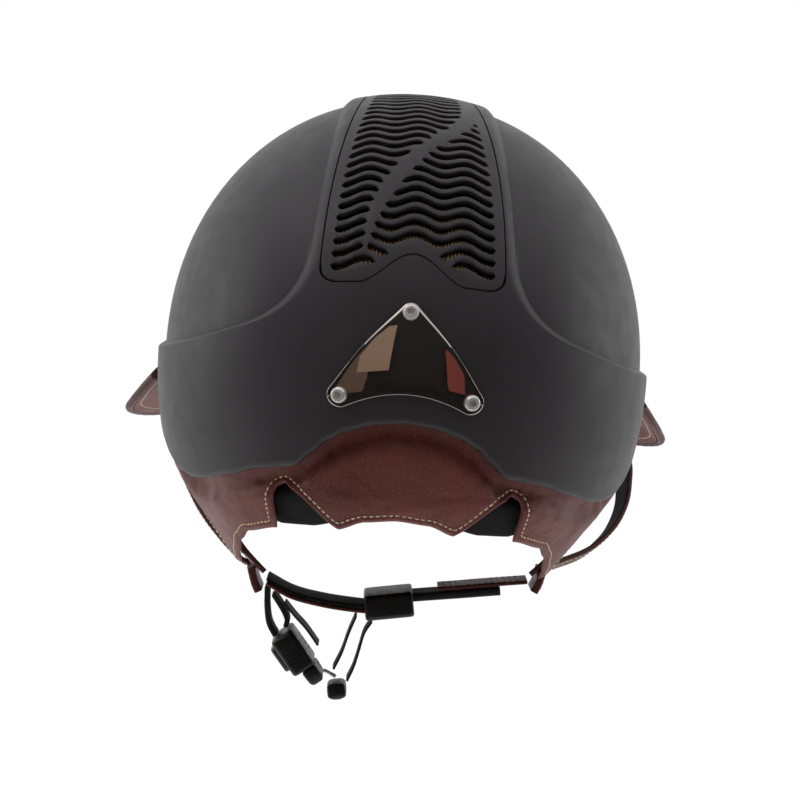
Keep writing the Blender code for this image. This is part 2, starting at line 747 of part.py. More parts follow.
# ---------- harness ----------


def strap_anchor(name, degrees):
    """The plate behind the shell's edge that a strap is riveted to."""
    azimuth = math.radians(degrees)
    height = rim_height(azimuth)

    def place(depth):
        def point(u, v):
            spread = math.radians(mix(-3.4, 3.4, u))
            level = height + mix(-2.0, 4.0, v)
            return shell_point(azimuth + spread, latitude_at(level, depth), depth)

        return point

    sheet(name, 4, 3, place(10.9), place(13.1), ("black_plastic", BLACK_PLASTIC))


def front_strap(side, route, joint):
    start = skirt_point(math.radians(110 * side), STRAP_TOP, 8.8)
    end = Vector(joint) + Vector((4.0 * side, -8.0, 7.2))
    return [start, *[Vector(k) for k in route], end]


def harness():
    look = ("brown_leather", BROWN_LEATHER)
    routes = {
        "left": [(102, -33, -42), (98, -18, -60), (86, 0, -78), (70, 16, -92)],
        "right": [(-107, -31, -40), (-109, -20, -56), (-104, -9, -71), (-90, 5, -83)],
    }
    for name, side in (("left", 1), ("right", -1)):
        joint = Vector(JOINTS[name])
        outward, forward = Vector((0.82 * side, 0.24, -0.5)), Vector((side, -0.29, -0.05))
        ribbon(
            "front_strap_" + name, front_strap(side, routes[name], joint), (forward, (side, 0, -0.8)),
            STRAP_WIDTH, STRAP_THICK, look, 16, taper=0.6,
        )
        top = skirt_point(math.radians(70 * side), -76.0, 10.8)
        low = joint + Vector((-2.5 * side, 7.0, 6.8))
        middle = top.lerp(low, 0.5) + Vector((0.8 * side, 0, -0.5))
        ribbon(
            "rear_strap_" + name, [top, middle, low], (outward, (side, 0.2, -0.6)), STRAP_WIDTH, STRAP_THICK,
            look, 8, taper=0.6,
        )
        loft(
            "strap_joint_" + name, [(-3.6, 4.6, 18), (-2.8, 5.4, 20), (2.8, 5.4, 20), (3.6, 4.6, 18)],
            joint, ((1, 0, 0), (0, 0, 1)), look,
        )
        strap_anchor("strap_anchor_front_" + name, 110 * side)
        strap_anchor("strap_anchor_rear_" + name, 68 * side)


# ---------- chin strap ----------


def swing_line(x):
    """The line through both strap joints, which the chin strap swings about."""
    left, right = Vector(JOINTS["left"]), Vector(JOINTS["right"])
    return left.lerp(right, (left.x - x) / (left.x - right.x))


def chin_strap():
    left, right = Vector(JOINTS["left"]), Vector(JOINTS["right"])
    pivot = swing_line(0.0)
    level = left.y
    leather_look, fabric, plastic = (
        ("brown_leather", BROWN_LEATHER), ("black_lining", BLACK_FABRIC), ("black_plastic", BLACK_PLASTIC)
    )
    down, up = (0, 0, -1), (0, 0, 1)

    def route(spots, lift=0.0):
        return [Vector((x, level, z + lift)) for x, z in spots]

    band = [(52.4, -101.9), (43, -106.5), (29, -109.3), (17, -110.5), (6, -111.0), (0, -111.0)]
    ribbon("chin_band", route(band), (down, down), 20.0, 1.6, leather_look, 14, origin=pivot)
    ribbon("chin_lining", route(band, 2.0), (up, up), 19.0, 1.4, fabric, 14, origin=pivot)
    strip = [(2, -105.7), (-14, -103.3), (-32, -100.9), (-50, -98.4)]
    ribbon("chin_webbing", route(strip), (down, down), KEEPER_WIDTH, 3.8, fabric, 10, origin=pivot)
    keeper = [(-22, -102.2), (-32, -100.9), (-48, -98.6), (-61.9, -96.7)]
    ribbon(
        "chin_keeper_leather", route(keeper, 3.2), (up, up), KEEPER_WIDTH, 1.6, leather_look, 10, origin=pivot
    )
    hanger = [(54.6, -103.6), (54.2, -112), (52.8, -119.5), (49.7, -125.0)]
    ribbon(
        "buckle_webbing", route(hanger), ((1, 0, 0), (0.7, 0, -0.7)), WEBBING_WIDTH, 2.4, fabric, 8,
        origin=pivot,
    )
    inner = [(51.5, -106.5), (46.8, -113.3), (44.8, -117.7), (45.3, -120.8)]
    ribbon(
        "buckle_webbing_inner", route(inner), ((0.8, 0, -0.6), (1, 0, 0)), WEBBING_WIDTH, 2.2, fabric, 8,
        origin=pivot,
    )
    tail = [(46.2, -110.2), (41.5, -115.5), (36, -121.0), (30.3, -128.2)]
    ribbon(
        "webbing_tail", route(tail), ((-0.7, 0, 0.7), (-0.7, 0, 0.7)), WEBBING_WIDTH, 0.9, fabric, 8,
        origin=pivot,
    )
    chin_slider(plastic)
    buckle(pivot, plastic)


def chin_slider(look):
    """A flat tube that the strap's two ends pass through."""
    centre = (-0.5, JOINTS["left"][1], -107.6)
    axes = ((0, 1, 0), (1, 0, -0.16))
    sections = [(-11, 25, 10.0), (-9.5, 26, 11.4), (9.5, 26, 11.4), (11, 25, 10.0)]
    body = loft("strap_slider", sections, centre, axes, look)
    cut(body, loft("slider_cutter", [(-14, 21.6, 9.2), (14, 21.6, 9.2)], centre, axes, look, chamfer=0.05))


def buckle(pivot, look):
    centre, along = Vector(BUCKLE_CENTRE), Vector(BUCKLE_ALONG).normalized()
    axes = ((0, 1, 0), along)
    outward = along.cross(Vector((0, 1, 0)))  # towards the button
    half, length = BUCKLE_THICK / 2, BUCKLE_LENGTH / 2
    wide = BUCKLE_WIDTH
    housing = loft(
        "buckle_housing",
        [
            (-length, wide - 5, 6.5), (-length + 3, wide, BUCKLE_THICK), (length - 2, wide, BUCKLE_THICK),
            (length, wide - 2, 9.4),
        ],
        centre, axes, look, pivot,
    )
    plug_centre = centre + outward * TONGUE_OFFSET
    mouth = loft(
        "mouth_cutter", [(-6.5, TONGUE_WIDTH + 1.0, 4.6), (length + 4, TONGUE_WIDTH + 1.0, 4.6)],
        plug_centre, axes, look, chamfer=0.05,
    )
    cut(housing, mouth)
    recess_half = BUTTON_LENGTH / 2 + 0.7
    recess = loft(
        "recess_cutter",
        [(-recess_half, BUTTON_WIDTH + 1.4, 10), (recess_half, BUTTON_WIDTH + 1.4, 10)],
        centre + outward * 6.2, axes, look, chamfer=0.05,
    )
    cut(housing, recess)
    button_centre = centre + outward * 5.6
    loft(
        "buckle_button",
        [(-BUTTON_LENGTH / 2, 9, 4.2), (-BUTTON_LENGTH / 2 + 2, BUTTON_WIDTH, 5.2),
         (BUTTON_LENGTH / 2 - 2, BUTTON_WIDTH, 5.2), (BUTTON_LENGTH / 2, 9, 4.2)],
        button_centre, axes, look, button_centre,
    )
    tongue = [
        (-5.0, TONGUE_WIDTH - 2, TONGUE_THICK - 0.8), (-3.5, TONGUE_WIDTH, TONGUE_THICK),
        (length + 0.6, TONGUE_WIDTH, TONGUE_THICK),
        (length + 0.6, 20, 7.0), (length + 6.6, 19, 6.6), (length + 8.4, 15, 4.6),
    ]
    loft("buckle_tongue", tongue, plug_centre, axes, look, plug_centre)
    pin_start = plug_centre + along * (length + 6.0) - outward * 4.5
    pin_end = pin_start + Vector((-5.6, 0, -2.6))
    tube("tongue_pin", [pin_start, pin_end], 0.85, ("steel", BRIGHT_STEEL), sides=8, origin=plug_centre)
    end_centre = (20.6, centre.y, -148.8)
    loft(
        "webbing_end", [(-3.6, 12, 5.0), (-2.2, 14, 8.6), (2.2, 14, 8.6), (3.8, 10, 4.0)], end_centre,
        ((0, 1, 0), (-0.15, 0, -1)), look, plug_centre,
    )
    level = centre.y
    for name, spots in (
        ("tongue_webbing_rear", [(6.8, -116.2), (9.8, -121.5), (11.6, -129), (13.6, -137), (16.2, -143.6)]),
        ("tongue_webbing_front", [(14.0, -114.2), (16.8, -122), (19.4, -131), (22.6, -138.6)]),
    ):
        path = [Vector((x, level, z)) for x, z in spots]
        ribbon(name, path, ((-1, 0, 0), (-1, 0, 0)), WEBBING_WIDTH, 1.0, ("black_lining", BLACK_FABRIC), 8)


def main():
    for old in list(bpy.data.objects):
        bpy.data.objects.remove(old)
    outer_shell()
    grille()
    liner()
    badge()
    leather()
    peak()
    harness()
    chin_strap()


main()
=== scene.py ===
import math

import bmesh
import bpy
import numpy as np
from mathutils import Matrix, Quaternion, Vector, noise


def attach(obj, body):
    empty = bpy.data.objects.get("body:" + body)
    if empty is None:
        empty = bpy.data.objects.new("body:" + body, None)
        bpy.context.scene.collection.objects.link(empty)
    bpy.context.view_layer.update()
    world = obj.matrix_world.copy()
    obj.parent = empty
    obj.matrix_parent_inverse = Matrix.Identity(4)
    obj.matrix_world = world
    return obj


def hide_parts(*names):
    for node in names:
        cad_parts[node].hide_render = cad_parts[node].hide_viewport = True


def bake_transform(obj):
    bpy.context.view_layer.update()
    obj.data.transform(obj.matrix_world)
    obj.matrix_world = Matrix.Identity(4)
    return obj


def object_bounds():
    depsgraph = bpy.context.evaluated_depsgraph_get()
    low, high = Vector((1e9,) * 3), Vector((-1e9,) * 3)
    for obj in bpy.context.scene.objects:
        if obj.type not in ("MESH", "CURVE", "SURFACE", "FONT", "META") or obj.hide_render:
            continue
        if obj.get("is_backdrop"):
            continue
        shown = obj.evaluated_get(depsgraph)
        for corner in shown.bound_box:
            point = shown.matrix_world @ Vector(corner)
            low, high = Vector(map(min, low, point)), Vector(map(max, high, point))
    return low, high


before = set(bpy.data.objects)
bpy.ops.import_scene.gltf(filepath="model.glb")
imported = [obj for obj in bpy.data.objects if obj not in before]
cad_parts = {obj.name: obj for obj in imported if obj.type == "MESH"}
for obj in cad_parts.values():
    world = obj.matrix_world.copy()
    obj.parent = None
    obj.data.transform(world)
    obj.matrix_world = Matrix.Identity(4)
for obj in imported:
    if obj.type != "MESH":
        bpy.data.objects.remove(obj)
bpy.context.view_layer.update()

# The riding helmet's looks. Shapes are worked out in millimetres, in the frame's axes: +Z up, and the
# front faces -Y.
MM = 0.001

# Shell: the same superellipsoid as the frame's, here with crisp steps
HALF_WIDTH, HALF_LENGTH, CROWN_HEIGHT, LOWER_DEPTH = 107.8, 134.0, 119.5, 125.0
ROUNDNESS = 2.1
EGG = 0.03  # share by which the back is wider than the front
SHELL_COLUMNS = 420
SHELL_WALL = 3.4
SPINE_RISE, BAND_RISE = 2.8, 3.3
SPINE_RAMP, BAND_RAMP = 6.0, 2.6
BAND_BLEND = 26.0

# Grille
GRILLE_REAR, GRILLE_ARCH, GRILLE_FRONT = math.radians(72.0), math.radians(66.1), math.radians(-74.0)
GRILLE_ARCH_HALF = 26.5
GRILLE_CORNER = 7.0
GRILLE_THICK = 2.2
GROOVE = 0.45  # gap round the grille
SLOT_PITCH = 5.6
SLOT_HALF = 1.55
SLOT_MARGIN = 4.2
SLOT_EDGE = 0.4  # how far the slots' edges are rounded
WAVE_LENGTH, WAVE_HEIGHT = 19.5, 1.7
END_ROWS = (0.5, 1.0, 1.7, 2.6, 3.6)  # rows of points this far from its ends keep its corners round

# Foam and pads
FOAM_OUTER, FOAM_INNER = 4.7, 25.0
FOAM_LIFT = 7.0
VENT_ANGLES = (-48, -16, 16, 48)
PAD_LATITUDE = math.radians(52)
HEADBAND_TOP = 26.0
FLANGE_DEPTH = 14.0

# Badge: a triangle with rounded corners, seen square from behind
BADGE_TIP, BADGE_CORNER = (0.0, 27.8, 3.9), (25.0, -5.3, 5.0)  # across, height and radius of its corners
BADGE_HOLLOW, BADGE_BOW = -3.8, 1.4
BADGE_SIDE_TURN, BADGE_CORNER_END = math.radians(38.6), math.radians(-117.0)
BADGE_HUB = (0.0, 6.0)
BADGE_LIFT, BADGE_THICK = 0.6, 1.6
BADGE_BEVEL = 1.6
SCREW_PLACES = {"top": (0.0, 27.8), "left": (25.0, -5.3), "right": (-25.0, -5.3)}
SCREW_HEAD = 3.3

# Leather below the shell
SKIRT_DEPTH, SKIRT_THICK, SKIRT_TUCK = 4.1, 2.2, 5.0
SKIRT_SWELL, SWELL_BELOW = 5.0, 5.4
LINING_GAP = 3.6
SKIRT_TURN, SKIRT_SOFT, SKIRT_REACH = -46.0, 8.0, 133.0
STITCH_PITCH, STITCH_LENGTH, STITCH_RADIUS = 2.7, 2.0, 0.36
STITCH_INSET = 2.9
RIM = [
    (0, -14.0), (5.6, -15.3), (10.6, -18.3), (14.8, -22.5), (18.5, -28.5), (22.1, -34.4), (31.6, -37.4),
    (42, -42.5), (52, -46.5), (58, -47.8), (64, -47.0), (69, -44.0), (75, -38.0), (82, -29.5), (90, -21.5),
    (105, -15.5), (120, -13.0), (180, -12.0),
]
NAPE_EDGE = [
    (0, -57.5), (7, -59.0), (13.5, -63.5), (23.5, -48.0), (26.5, -45.5), (28.8, -47.5), (31.5, -66.5),
    (43.5, -71.0), (50, -76.5), (58, -84.5), (65, -91.0), (69, -92.5), (73, -90.0), (79, -77.0),
    (86, -58.0), (92, -39.0), (98, -25.0),
]
LINING_EDGE = [(0, -55.5), (13, -60.5), (22, -64.0), (32, -65.0), (38, -62.0)]

# Peak
PEAK_SIDE = math.radians(103)
PEAK_CORE, PEAK_COVER, PEAK_GAP = 1.8, 1.1, 0.35
PEAK_BULGE = 4.0
PEAK_SEAM = 2.6  # stitching to edge
PEAK_EDGE = [
    (0, -184, -36), (38, -180.5, -36.5), (76, -164, -38), (106, -133, -39.5), (123, -104, -39.5),
    (130.5, -78, -36), (127.5, -62, -30), (121.5, -47, -22.5), (115.5, -36, -15.5),
]
PIPING_RADIUS = 1.9

# Harness
STRAP_TOP = -14.6
STRAP_WIDTH, STRAP_THICK = 17.0, 2.2
WEBBING_WIDTH, KEEPER_WIDTH = 13.0, 16.0
JOINTS = {"left": (58.9, 28.0, -102.4), "right": (-65.6, 28.0, -96.4)}

# Camera and light
CAMERA_TARGET = (0.001, 0.0, 0.0)
CAMERA_AWAY = 1.0
CAMERA_SWEEP, CAMERA_LIFT, CAMERA_ROLL = 0.9, 4.0, 3.65
CAMERA_SHIFT = -0.049
CAMERA_LENS, CAMERA_SENSOR = 97.4, 36.0
ROOM_LIGHT = 1.0
FLOOR_REACH = 6.0
FLOOR_BELOW = 0.25  # metres below the helmet's lowest point


# ---------- numbers ----------


def mix(a, b, share):
    return a + (b - a) * share


def clamp(value, low=0.0, high=1.0):
    return max(low, min(high, value))


def smooth(share):
    share = clamp(share)
    return share * share * (3 - 2 * share)


def signed_power(value, exponent):
    return math.copysign(abs(value) ** exponent, value)


def through(knots, at):
    """Value at a place on a smooth line through a few (place, value) knots."""
    if at <= knots[0][0]:
        return knots[0][1]
    for (a, low), (b, high) in zip(knots, knots[1:]):
        if at <= b:
            share = (at - a) / (b - a)
            return mix(low, high, smooth(share) * 0.5 + share * 0.5)
    return knots[-1][1]


# ---------- the shell's surface, as in the frame ----------


def latitude_at(height, depth):
    reach = (CROWN_HEIGHT if height > 0 else LOWER_DEPTH) - depth
    return math.copysign(math.asin(min(1.0, (abs(height) / reach) ** (ROUNDNESS / 2))), height)


def raised_area(x, y, z):
    """How far into the raised spine or band a place is, its ramp's width there, and the spine's share."""
    side = abs(x)
    flare = 11.0 if y > 0 else 5.0
    spine = 33.0 + flare * (1 - (max(z, 0.0) / CROWN_HEIGHT) ** 2) - side
    band = (2.6 + (110.0 - side) * 0.4 if y > 0 else 3.0 - 0.03 * abs(y)) - z
    share = clamp(0.5 + 0.5 * (spine - band) / BAND_BLEND)
    inside = mix(band, spine, share) + BAND_BLEND * share * (1 - share)
    return inside, mix(BAND_RAMP, SPINE_RAMP, share), share


def rise(x, y, z):
    """Height of the raised spine and band above the base surface."""
    inside, ramp, share = raised_area(x, y, z)
    return mix(BAND_RISE, SPINE_RISE, share) * math.sin(clamp(inside / ramp) * math.pi / 2)


def base_normal(x, y, z):
    tall = CROWN_HEIGHT if z > 0 else LOWER_DEPTH
    return Vector((x / HALF_WIDTH**2, y / HALF_LENGTH**2, z / tall**2)).normalized()


def lifted(x, y, z):
    return Vector((x, y, z)) + base_normal(x, y, z) * rise(x, y, z)


def shell_point(azimuth, latitude, depth=0.0, lift=False):
    power = 2 / ROUNDNESS
    across = signed_power(math.cos(latitude), power)
    tall = (CROWN_HEIGHT if latitude > 0 else LOWER_DEPTH) - depth
    x = (HALF_WIDTH - depth) * across * signed_power(math.sin(azimuth), power)
    y = (HALF_LENGTH - depth) * across * signed_power(math.cos(azimuth), power)
    z = tall * signed_power(math.sin(latitude), power)
    x *= 1 + EGG * y / HALF_LENGTH
    return lifted(x, y, z) if lift else Vector((x, y, z))


def spine_point(angle, x, lift=True):
    power = 2 / ROUNDNESS
    across = (1 - (abs(x) / HALF_WIDTH) ** ROUNDNESS) ** (1 / ROUNDNESS)
    tall = CROWN_HEIGHT if abs(angle) < math.pi / 2 else LOWER_DEPTH
    y = HALF_LENGTH * across * signed_power(math.sin(angle), power)
    z = tall * across * signed_power(math.cos(angle), power)
    x *= 1 + EGG * y / HALF_LENGTH
    return lifted(x, y, z) if lift else Vector((x, y, z))


def around(azimuth):
    turned = abs(math.degrees(azimuth)) % 360
    return min(turned, 360 - turned)


def rim_height(azimuth):
    return through(RIM, around(azimuth))


# ---------- mesh helpers ----------


def finish_piece(made, look, body, replaced=(), sharp=40):
    made.data.materials.clear()
    for one in look if isinstance(look, (list, tuple)) else [look]:
        made.data.materials.append(one)
    made.data.shade_smooth()
    made.data.set_sharp_from_angle(angle=math.radians(sharp))
    if body:
        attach(made, body)
    if replaced:
        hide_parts(*replaced)
    return made


def new_mesh(name, points, faces, marks=None):
    """A mesh object from points in millimetres; marks are its texture coordinates, one for each point."""
    mesh = bpy.data.meshes.new(name)
    mesh.from_pydata([Vector(p) * MM for p in points], [], faces)
    if marks:
        layer = mesh.uv_layers.new(name="UVMap")
        for corner, loop in zip(layer.data, mesh.loops):
            corner.uv = [value * MM for value in marks[loop.vertex_index]]
    tidy = bmesh.new()
    tidy.from_mesh(mesh)
    bmesh.ops.recalc_face_normals(tidy, faces=tidy.faces)
    tidy.to_mesh(mesh)
    tidy.free()
    made = bpy.data.objects.new(name, mesh)
    bpy.context.scene.collection.objects.link(made)
    return made


def strip_faces(columns, rows, start=0, closed=False, flip=False):
    faces = []
    for i in range(columns if closed else columns - 1):
        for j in range(rows - 1):
            a, b = start + i * rows + j, start + (i + 1) % columns * rows + j
            quad = (a, b, b + 1, a + 1)
            faces.append(quad[::-1] if flip else quad)
    return faces


def slab(name, columns, rows, outer, inner, closed=False, size=None):
    """A closed solid between two surfaces, each a function of (u, v) from 0 to 1; size is its extent."""
    last = columns if closed else columns - 1
    spots = [(i / last, j / (rows - 1)) for i in range(columns) for j in range(rows)]
    points = [outer(u, v) for u, v in spots] + [inner(u, v) for u, v in spots]
    back = len(spots)
    faces = strip_faces(columns, rows, 0, closed) + strip_faces(columns, rows, back, closed, True)
    for i in range(last):
        a, b = i * rows, (i + 1) % columns * rows
        faces.append((a, a + back, b + back, b))
        a, b = a + rows - 1, b + rows - 1
        faces.append((b, b + back, a + back, a))
    if not closed:
        end = (columns - 1) * rows
        for j in range(rows - 1):
            faces.append((j + 1, j + 1 + back, j + back, j))
            faces.append((end + j, end + j + back, end + j + 1 + back, end + j + 1))
    marks = [(u * size[0], v * size[1]) for u, v in spots] * 2 if size else None
    return new_mesh(name, points, faces, marks)


def rings(name, loops, marks=None):
    """A closed solid skinned over loops of the same number of points."""
    count = len(loops[0])
    points = [p for loop in loops for p in loop]
    faces = []
    for i in range(len(loops) - 1):
        a, b = i * count, (i + 1) * count
        faces += [(a + k, a + (k + 1) % count, b + (k + 1) % count, b + k) for k in range(count)]
    faces += [tuple(range(count))[::-1], tuple(range((len(loops) - 1) * count, len(loops) * count))]
    return new_mesh(name, points, faces, [mark for loop in marks for mark in loop] if marks else None)


def curve_at(knots, share):
    """Point on a smooth curve through the knots."""
    knots = [Vector(k) for k in knots]
    ends = [knots[0] * 2 - knots[1], *knots, knots[-1] * 2 - knots[-2]]
    at = clamp(share) * (len(knots) - 1)
    i = min(int(at), len(knots) - 2)
    t = at - i
    a, b, c, d = ends[i : i + 4]
    bend = 2 * a - 5 * b + 4 * c - d
    return 0.5 * (2 * b + (c - a) * t + bend * t * t + (3 * b - a - 3 * c + d) * t**3)


def keep_changes(made):
    """Makes a piece's modifiers part of its mesh."""
    graph = bpy.context.evaluated_depsgraph_get()
    mesh = bpy.data.meshes.new_from_object(made.evaluated_get(graph))
    made.modifiers.clear()
    made.data = mesh


def cut_away(target, cutter):
    """Takes the cutter out of the target for good, and removes the cutter."""
    step = target.modifiers.new("cut", "BOOLEAN")
    step.operation, step.object, step.solver = "DIFFERENCE", cutter, "EXACT"
    keep_changes(target)
    bpy.data.objects.remove(cutter)


# ---------- materials ----------


class Nodes:
    """A material's node tree, built up one node at a time."""

    def __init__(self, name, colour, roughness, metallic=0.0, **fixed):
        self.material = bpy.data.materials.new(name)
        self.material.use_nodes = True
        self.tree = self.material.node_tree
        self.shader = self.tree.nodes["Principled BSDF"]
        self.shader.inputs["Base Color"].default_value = (*colour, 1.0)
        self.shader.inputs["Roughness"].default_value = roughness
        self.shader.inputs["Metallic"].default_value = metallic
        for socket, value in fixed.items():
            self.shader.inputs[socket.replace("_", " ")].default_value = value
        place = self.tree.nodes.new("ShaderNodeTexCoord")
        self.place = place.outputs["Object"]

    def node(self, kind, inputs=None, **settings):
        made = self.tree.nodes.new("ShaderNode" + kind)
        for key, value in settings.items():
            setattr(made, key, value)
        for key, value in (inputs or {}).items():
            if isinstance(value, bpy.types.NodeSocket):
                self.tree.links.new(value, made.inputs[key])
            else:
                made.inputs[key].default_value = value
        return made

    def noise(self, size_mm, detail=3.0, roughness=0.5, stretch=None):
        where = self.stretched(stretch) if stretch else self.place
        inputs = {"Vector": where, "Scale": 1 / (size_mm * MM), "Detail": detail, "Roughness": roughness}
        return self.node("TexNoise", inputs).outputs["Fac"]

    def stretched(self, scale):
        return self.node("Mapping", {"Vector": self.place, "Scale": scale}).outputs["Vector"]

    def cells(self, size_mm, feature="F1", vector=None):
        inputs = {"Vector": vector or self.place, "Scale": 1 / (size_mm * MM)}
        return self.node("TexVoronoi", inputs, feature=feature).outputs["Distance"]

    def ramp(self, value, low, high, dark, light):
        """Maps a value between low and high to a number between dark and light."""
        inputs = {"Value": value, "From Min": low, "From Max": high, "To Min": dark, "To Max": light}
        return self.node("MapRange", inputs).outputs["Result"]

    def maths(self, operation, a, b):
        return self.node("Math", {0: a, 1: b}, operation=operation).outputs[0]

    def colours(self, value, stops):
        ramp = self.node("ValToRGB", {"Fac": value})
        while len(ramp.color_ramp.elements) < len(stops):
            ramp.color_ramp.elements.new(0.5)
        for element, (place, colour) in zip(ramp.color_ramp.elements, stops):
            element.position = place
            element.color = (*colour, 1.0)
        self.tree.links.new(ramp.outputs["Color"], self.shader.inputs["Base Color"])

    def roughness(self, value, low, high, dark, light):
        self.tree.links.new(self.ramp(value, low, high, dark, light), self.shader.inputs["Roughness"])

    def bump(self, height, depth_mm, strength=1.0, after=None):
        inputs = {"Height": height, "Distance": depth_mm * MM, "Strength": strength}
        if after:
            inputs["Normal"] = after
        normal = self.node("Bump", inputs).outputs["Normal"]
        self.tree.links.new(normal, self.shader.inputs["Normal"])
        return normal


def soft_touch_black():
    m = Nodes("soft_touch_black", (0.044, 0.041, 0.0446), 0.48, Specular_IOR_Level=0.26)
    cloud = m.noise(60, 2)
    m.colours(cloud, [(0.3, (0.040, 0.0368, 0.0405)), (0.7, (0.048, 0.0443, 0.0487))])
    m.roughness(m.noise(9, 4), 0.3, 0.7, 0.44, 0.53)
    fine = m.bump(m.noise(0.35, 2), 0.012, 0.6)
    m.bump(m.noise(2.2, 2), 0.01, 0.35, fine)
    return m.material


def leather(name, dark, light, grain_mm=1.05, roughness=(0.40, 0.58)):
    """Pebbled leather: rounded grain with fine creases, and painted shade that darkens the creases."""
    m = Nodes(name, light, 0.5, Specular_IOR_Level=0.2)
    warp = m.node("TexNoise", {"Vector": m.place, "Scale": 260.0, "Detail": 2.0})
    shifted = m.node("VectorMath", {0: m.place}, operation="ADD")
    scaled = m.node("VectorMath", {0: warp.outputs["Color"], "Scale": 0.0009}, operation="SCALE")
    m.tree.links.new(scaled.outputs[0], shifted.inputs[1])
    grain = m.cells(grain_mm, "DISTANCE_TO_EDGE", shifted.outputs[0])
    pebble = m.ramp(grain, 0.0, 0.22, 0.0, 1.0)
    patches = m.noise(38, 3)
    # painted shade: the pebble height that lifts the grain also darkens the creases, mixed with random
    # patches of tone
    tone = m.maths("MULTIPLY_ADD", pebble, 0.35)
    m.tree.links.new(m.maths("MULTIPLY", patches, 0.65), tone.node.inputs[2])
    m.colours(tone, [(0.18, dark), (0.78, light)])
    m.roughness(patches, 0.3, 0.7, roughness[1], roughness[0])
    first = m.bump(pebble, 0.10, 0.55)
    second = m.bump(m.noise(0.3, 3), 0.03, 0.35, first)
    m.bump(m.noise(7, 2), 0.5, 0.25, second)
    return m.material


def textile(name, dark, light, thread_mm=0.55, depth_mm=0.08, roughness=0.88):
    """A close knit or felted cloth, with painted shade in the low places between its loops."""
    m = Nodes(name, light, roughness, Specular_IOR_Level=0.25, Sheen_Weight=0.04, Sheen_Roughness=0.6)
    knit = m.cells(thread_mm)
    fuzz = m.noise(0.25, 3)
    # random tone times painted shade: darker where the knit's loops dip, lighter on their raised middles
    tone = m.maths("MULTIPLY", m.noise(14, 3), m.ramp(knit, 0.0, 0.8, 1.2, 0.7))
    m.colours(tone, [(0.25, dark), (0.75, light)])
    first = m.bump(m.ramp(knit, 0.0, 0.7, 1.0, 0.0), depth_mm, 0.8)
    m.bump(fuzz, 0.04, 0.5, first)
    return m.material


def webbing():
    """Woven polyester webbing: ribs across the strap, and threads in a herringbone along it, with painted
    shade in the weave's low places.
    """
    sheen = {"Sheen_Weight": 0.1, "Sheen_Roughness": 0.5}
    m = Nodes("black_weave", (0.013, 0.013, 0.014), 0.78, Specular_IOR_Level=0.35, **sheen)
    flat = m.node("TexCoord").outputs["UV"]
    split = m.node("SeparateXYZ", {"Vector": flat})
    along, across = split.outputs["X"], split.outputs["Y"]
    chevron = m.maths("PINGPONG", across, 0.0016)
    lean = m.maths("ADD", along, chevron)
    ribs = m.maths("SINE", m.maths("MULTIPLY", lean, math.tau / 0.0011), 0.0)
    cords = m.maths("SINE", m.maths("MULTIPLY", across, math.tau / 0.0008), 0.0)
    height = m.maths("ADD", m.ramp(ribs, -1.0, 1.0, 0.0, 0.7), m.ramp(cords, -1.0, 1.0, 0.0, 0.3))
    # painted shade: the weave's low places are coloured darker and its raised ribs lighter, from the bump's
    # height
    m.colours(height, [(0.15, (0.006, 0.006, 0.0065)), (0.9, (0.022, 0.022, 0.024))])
    first = m.bump(height, 0.16, 0.8)
    m.bump(m.noise(0.3, 3), 0.04, 0.4, first)
    return m.material


def plastic(name, dark, light, roughness, grain=0.02):
    """Moulded nylon with a fine spark-eroded texture."""
    m = Nodes(name, light, roughness, Specular_IOR_Level=0.42)
    m.colours(m.noise(6, 3), [(0.3, dark), (0.7, light)])
    m.roughness(m.noise(2.5, 3), 0.3, 0.7, roughness - 0.05, roughness + 0.07)
    m.bump(m.cells(0.35), grain, 0.6)
    return m.material


def bead_foam():
    m = Nodes("bead_foam", (0.03, 0.03, 0.031), 0.8, Specular_IOR_Level=0.35)
    beads = m.cells(3.4, "DISTANCE_TO_EDGE")
    # painted shade: darker along the seams between the moulded beads, where the bump dips
    tone = m.ramp(beads, 0.0, 0.12, 0.0, 1.0)
    m.colours(tone, [(0.0, (0.012, 0.012, 0.013)), (1.0, (0.034, 0.034, 0.036))])
    first = m.bump(m.ramp(beads, 0.0, 0.2, 0.0, 1.0), 0.25, 0.7)
    m.bump(m.noise(0.5, 3), 0.05, 0.4, first)
    return m.material


def metal(name, colour, roughness, scratch=0.01, metallic=1.0):
    m = Nodes(name, colour, roughness, metallic)
    m.roughness(m.noise(1.2, 4, 0.6), 0.3, 0.7, max(0.02, roughness - 0.03), roughness + 0.05)
    m.bump(m.noise(0.25, 3, 0.5, (1, 1, 6)), scratch, 0.3)
    return m.material


def wire_weave():
    """Woven bronze wire: two sets of wires over and under each other, with painted shade between them in
    place of the open gaps.
    """
    m = Nodes("bronze_wire", (0.42, 0.27, 0.13), 0.34, 1.0)
    flat = m.node("TexCoord").outputs["UV"]
    split = m.node("SeparateXYZ", {"Vector": flat})
    waves = [
        m.maths("ABSOLUTE", m.maths("SINE", m.maths("MULTIPLY", way, math.pi / 0.0013), 0.0), 0.0)
        for way in (split.outputs["X"], split.outputs["Y"])
    ]
    height = m.maths("MAXIMUM", *waves)
    # the near-black stop is painted shade between the wires, standing in for the gaps
    m.colours(height, [(0.8, (0.003, 0.0024, 0.0018)), (0.96, (0.36, 0.23, 0.115))])
    m.roughness(m.noise(2, 3), 0.3, 0.7, 0.28, 0.45)
    m.bump(height, 0.3, 0.9)
    return m.material


def dark_mirror():
    """Smoked polished metal, smooth enough to mirror the room."""
    m = Nodes("dark_mirror", (0.42, 0.37, 0.34), 0.025, 1.0)
    m.colours(m.noise(30, 2), [(0.3, (0.40, 0.35, 0.32)), (0.7, (0.45, 0.40, 0.37))])
    m.roughness(m.noise(5, 4, 0.6), 0.4, 0.8, 0.02, 0.05)
    return m.material


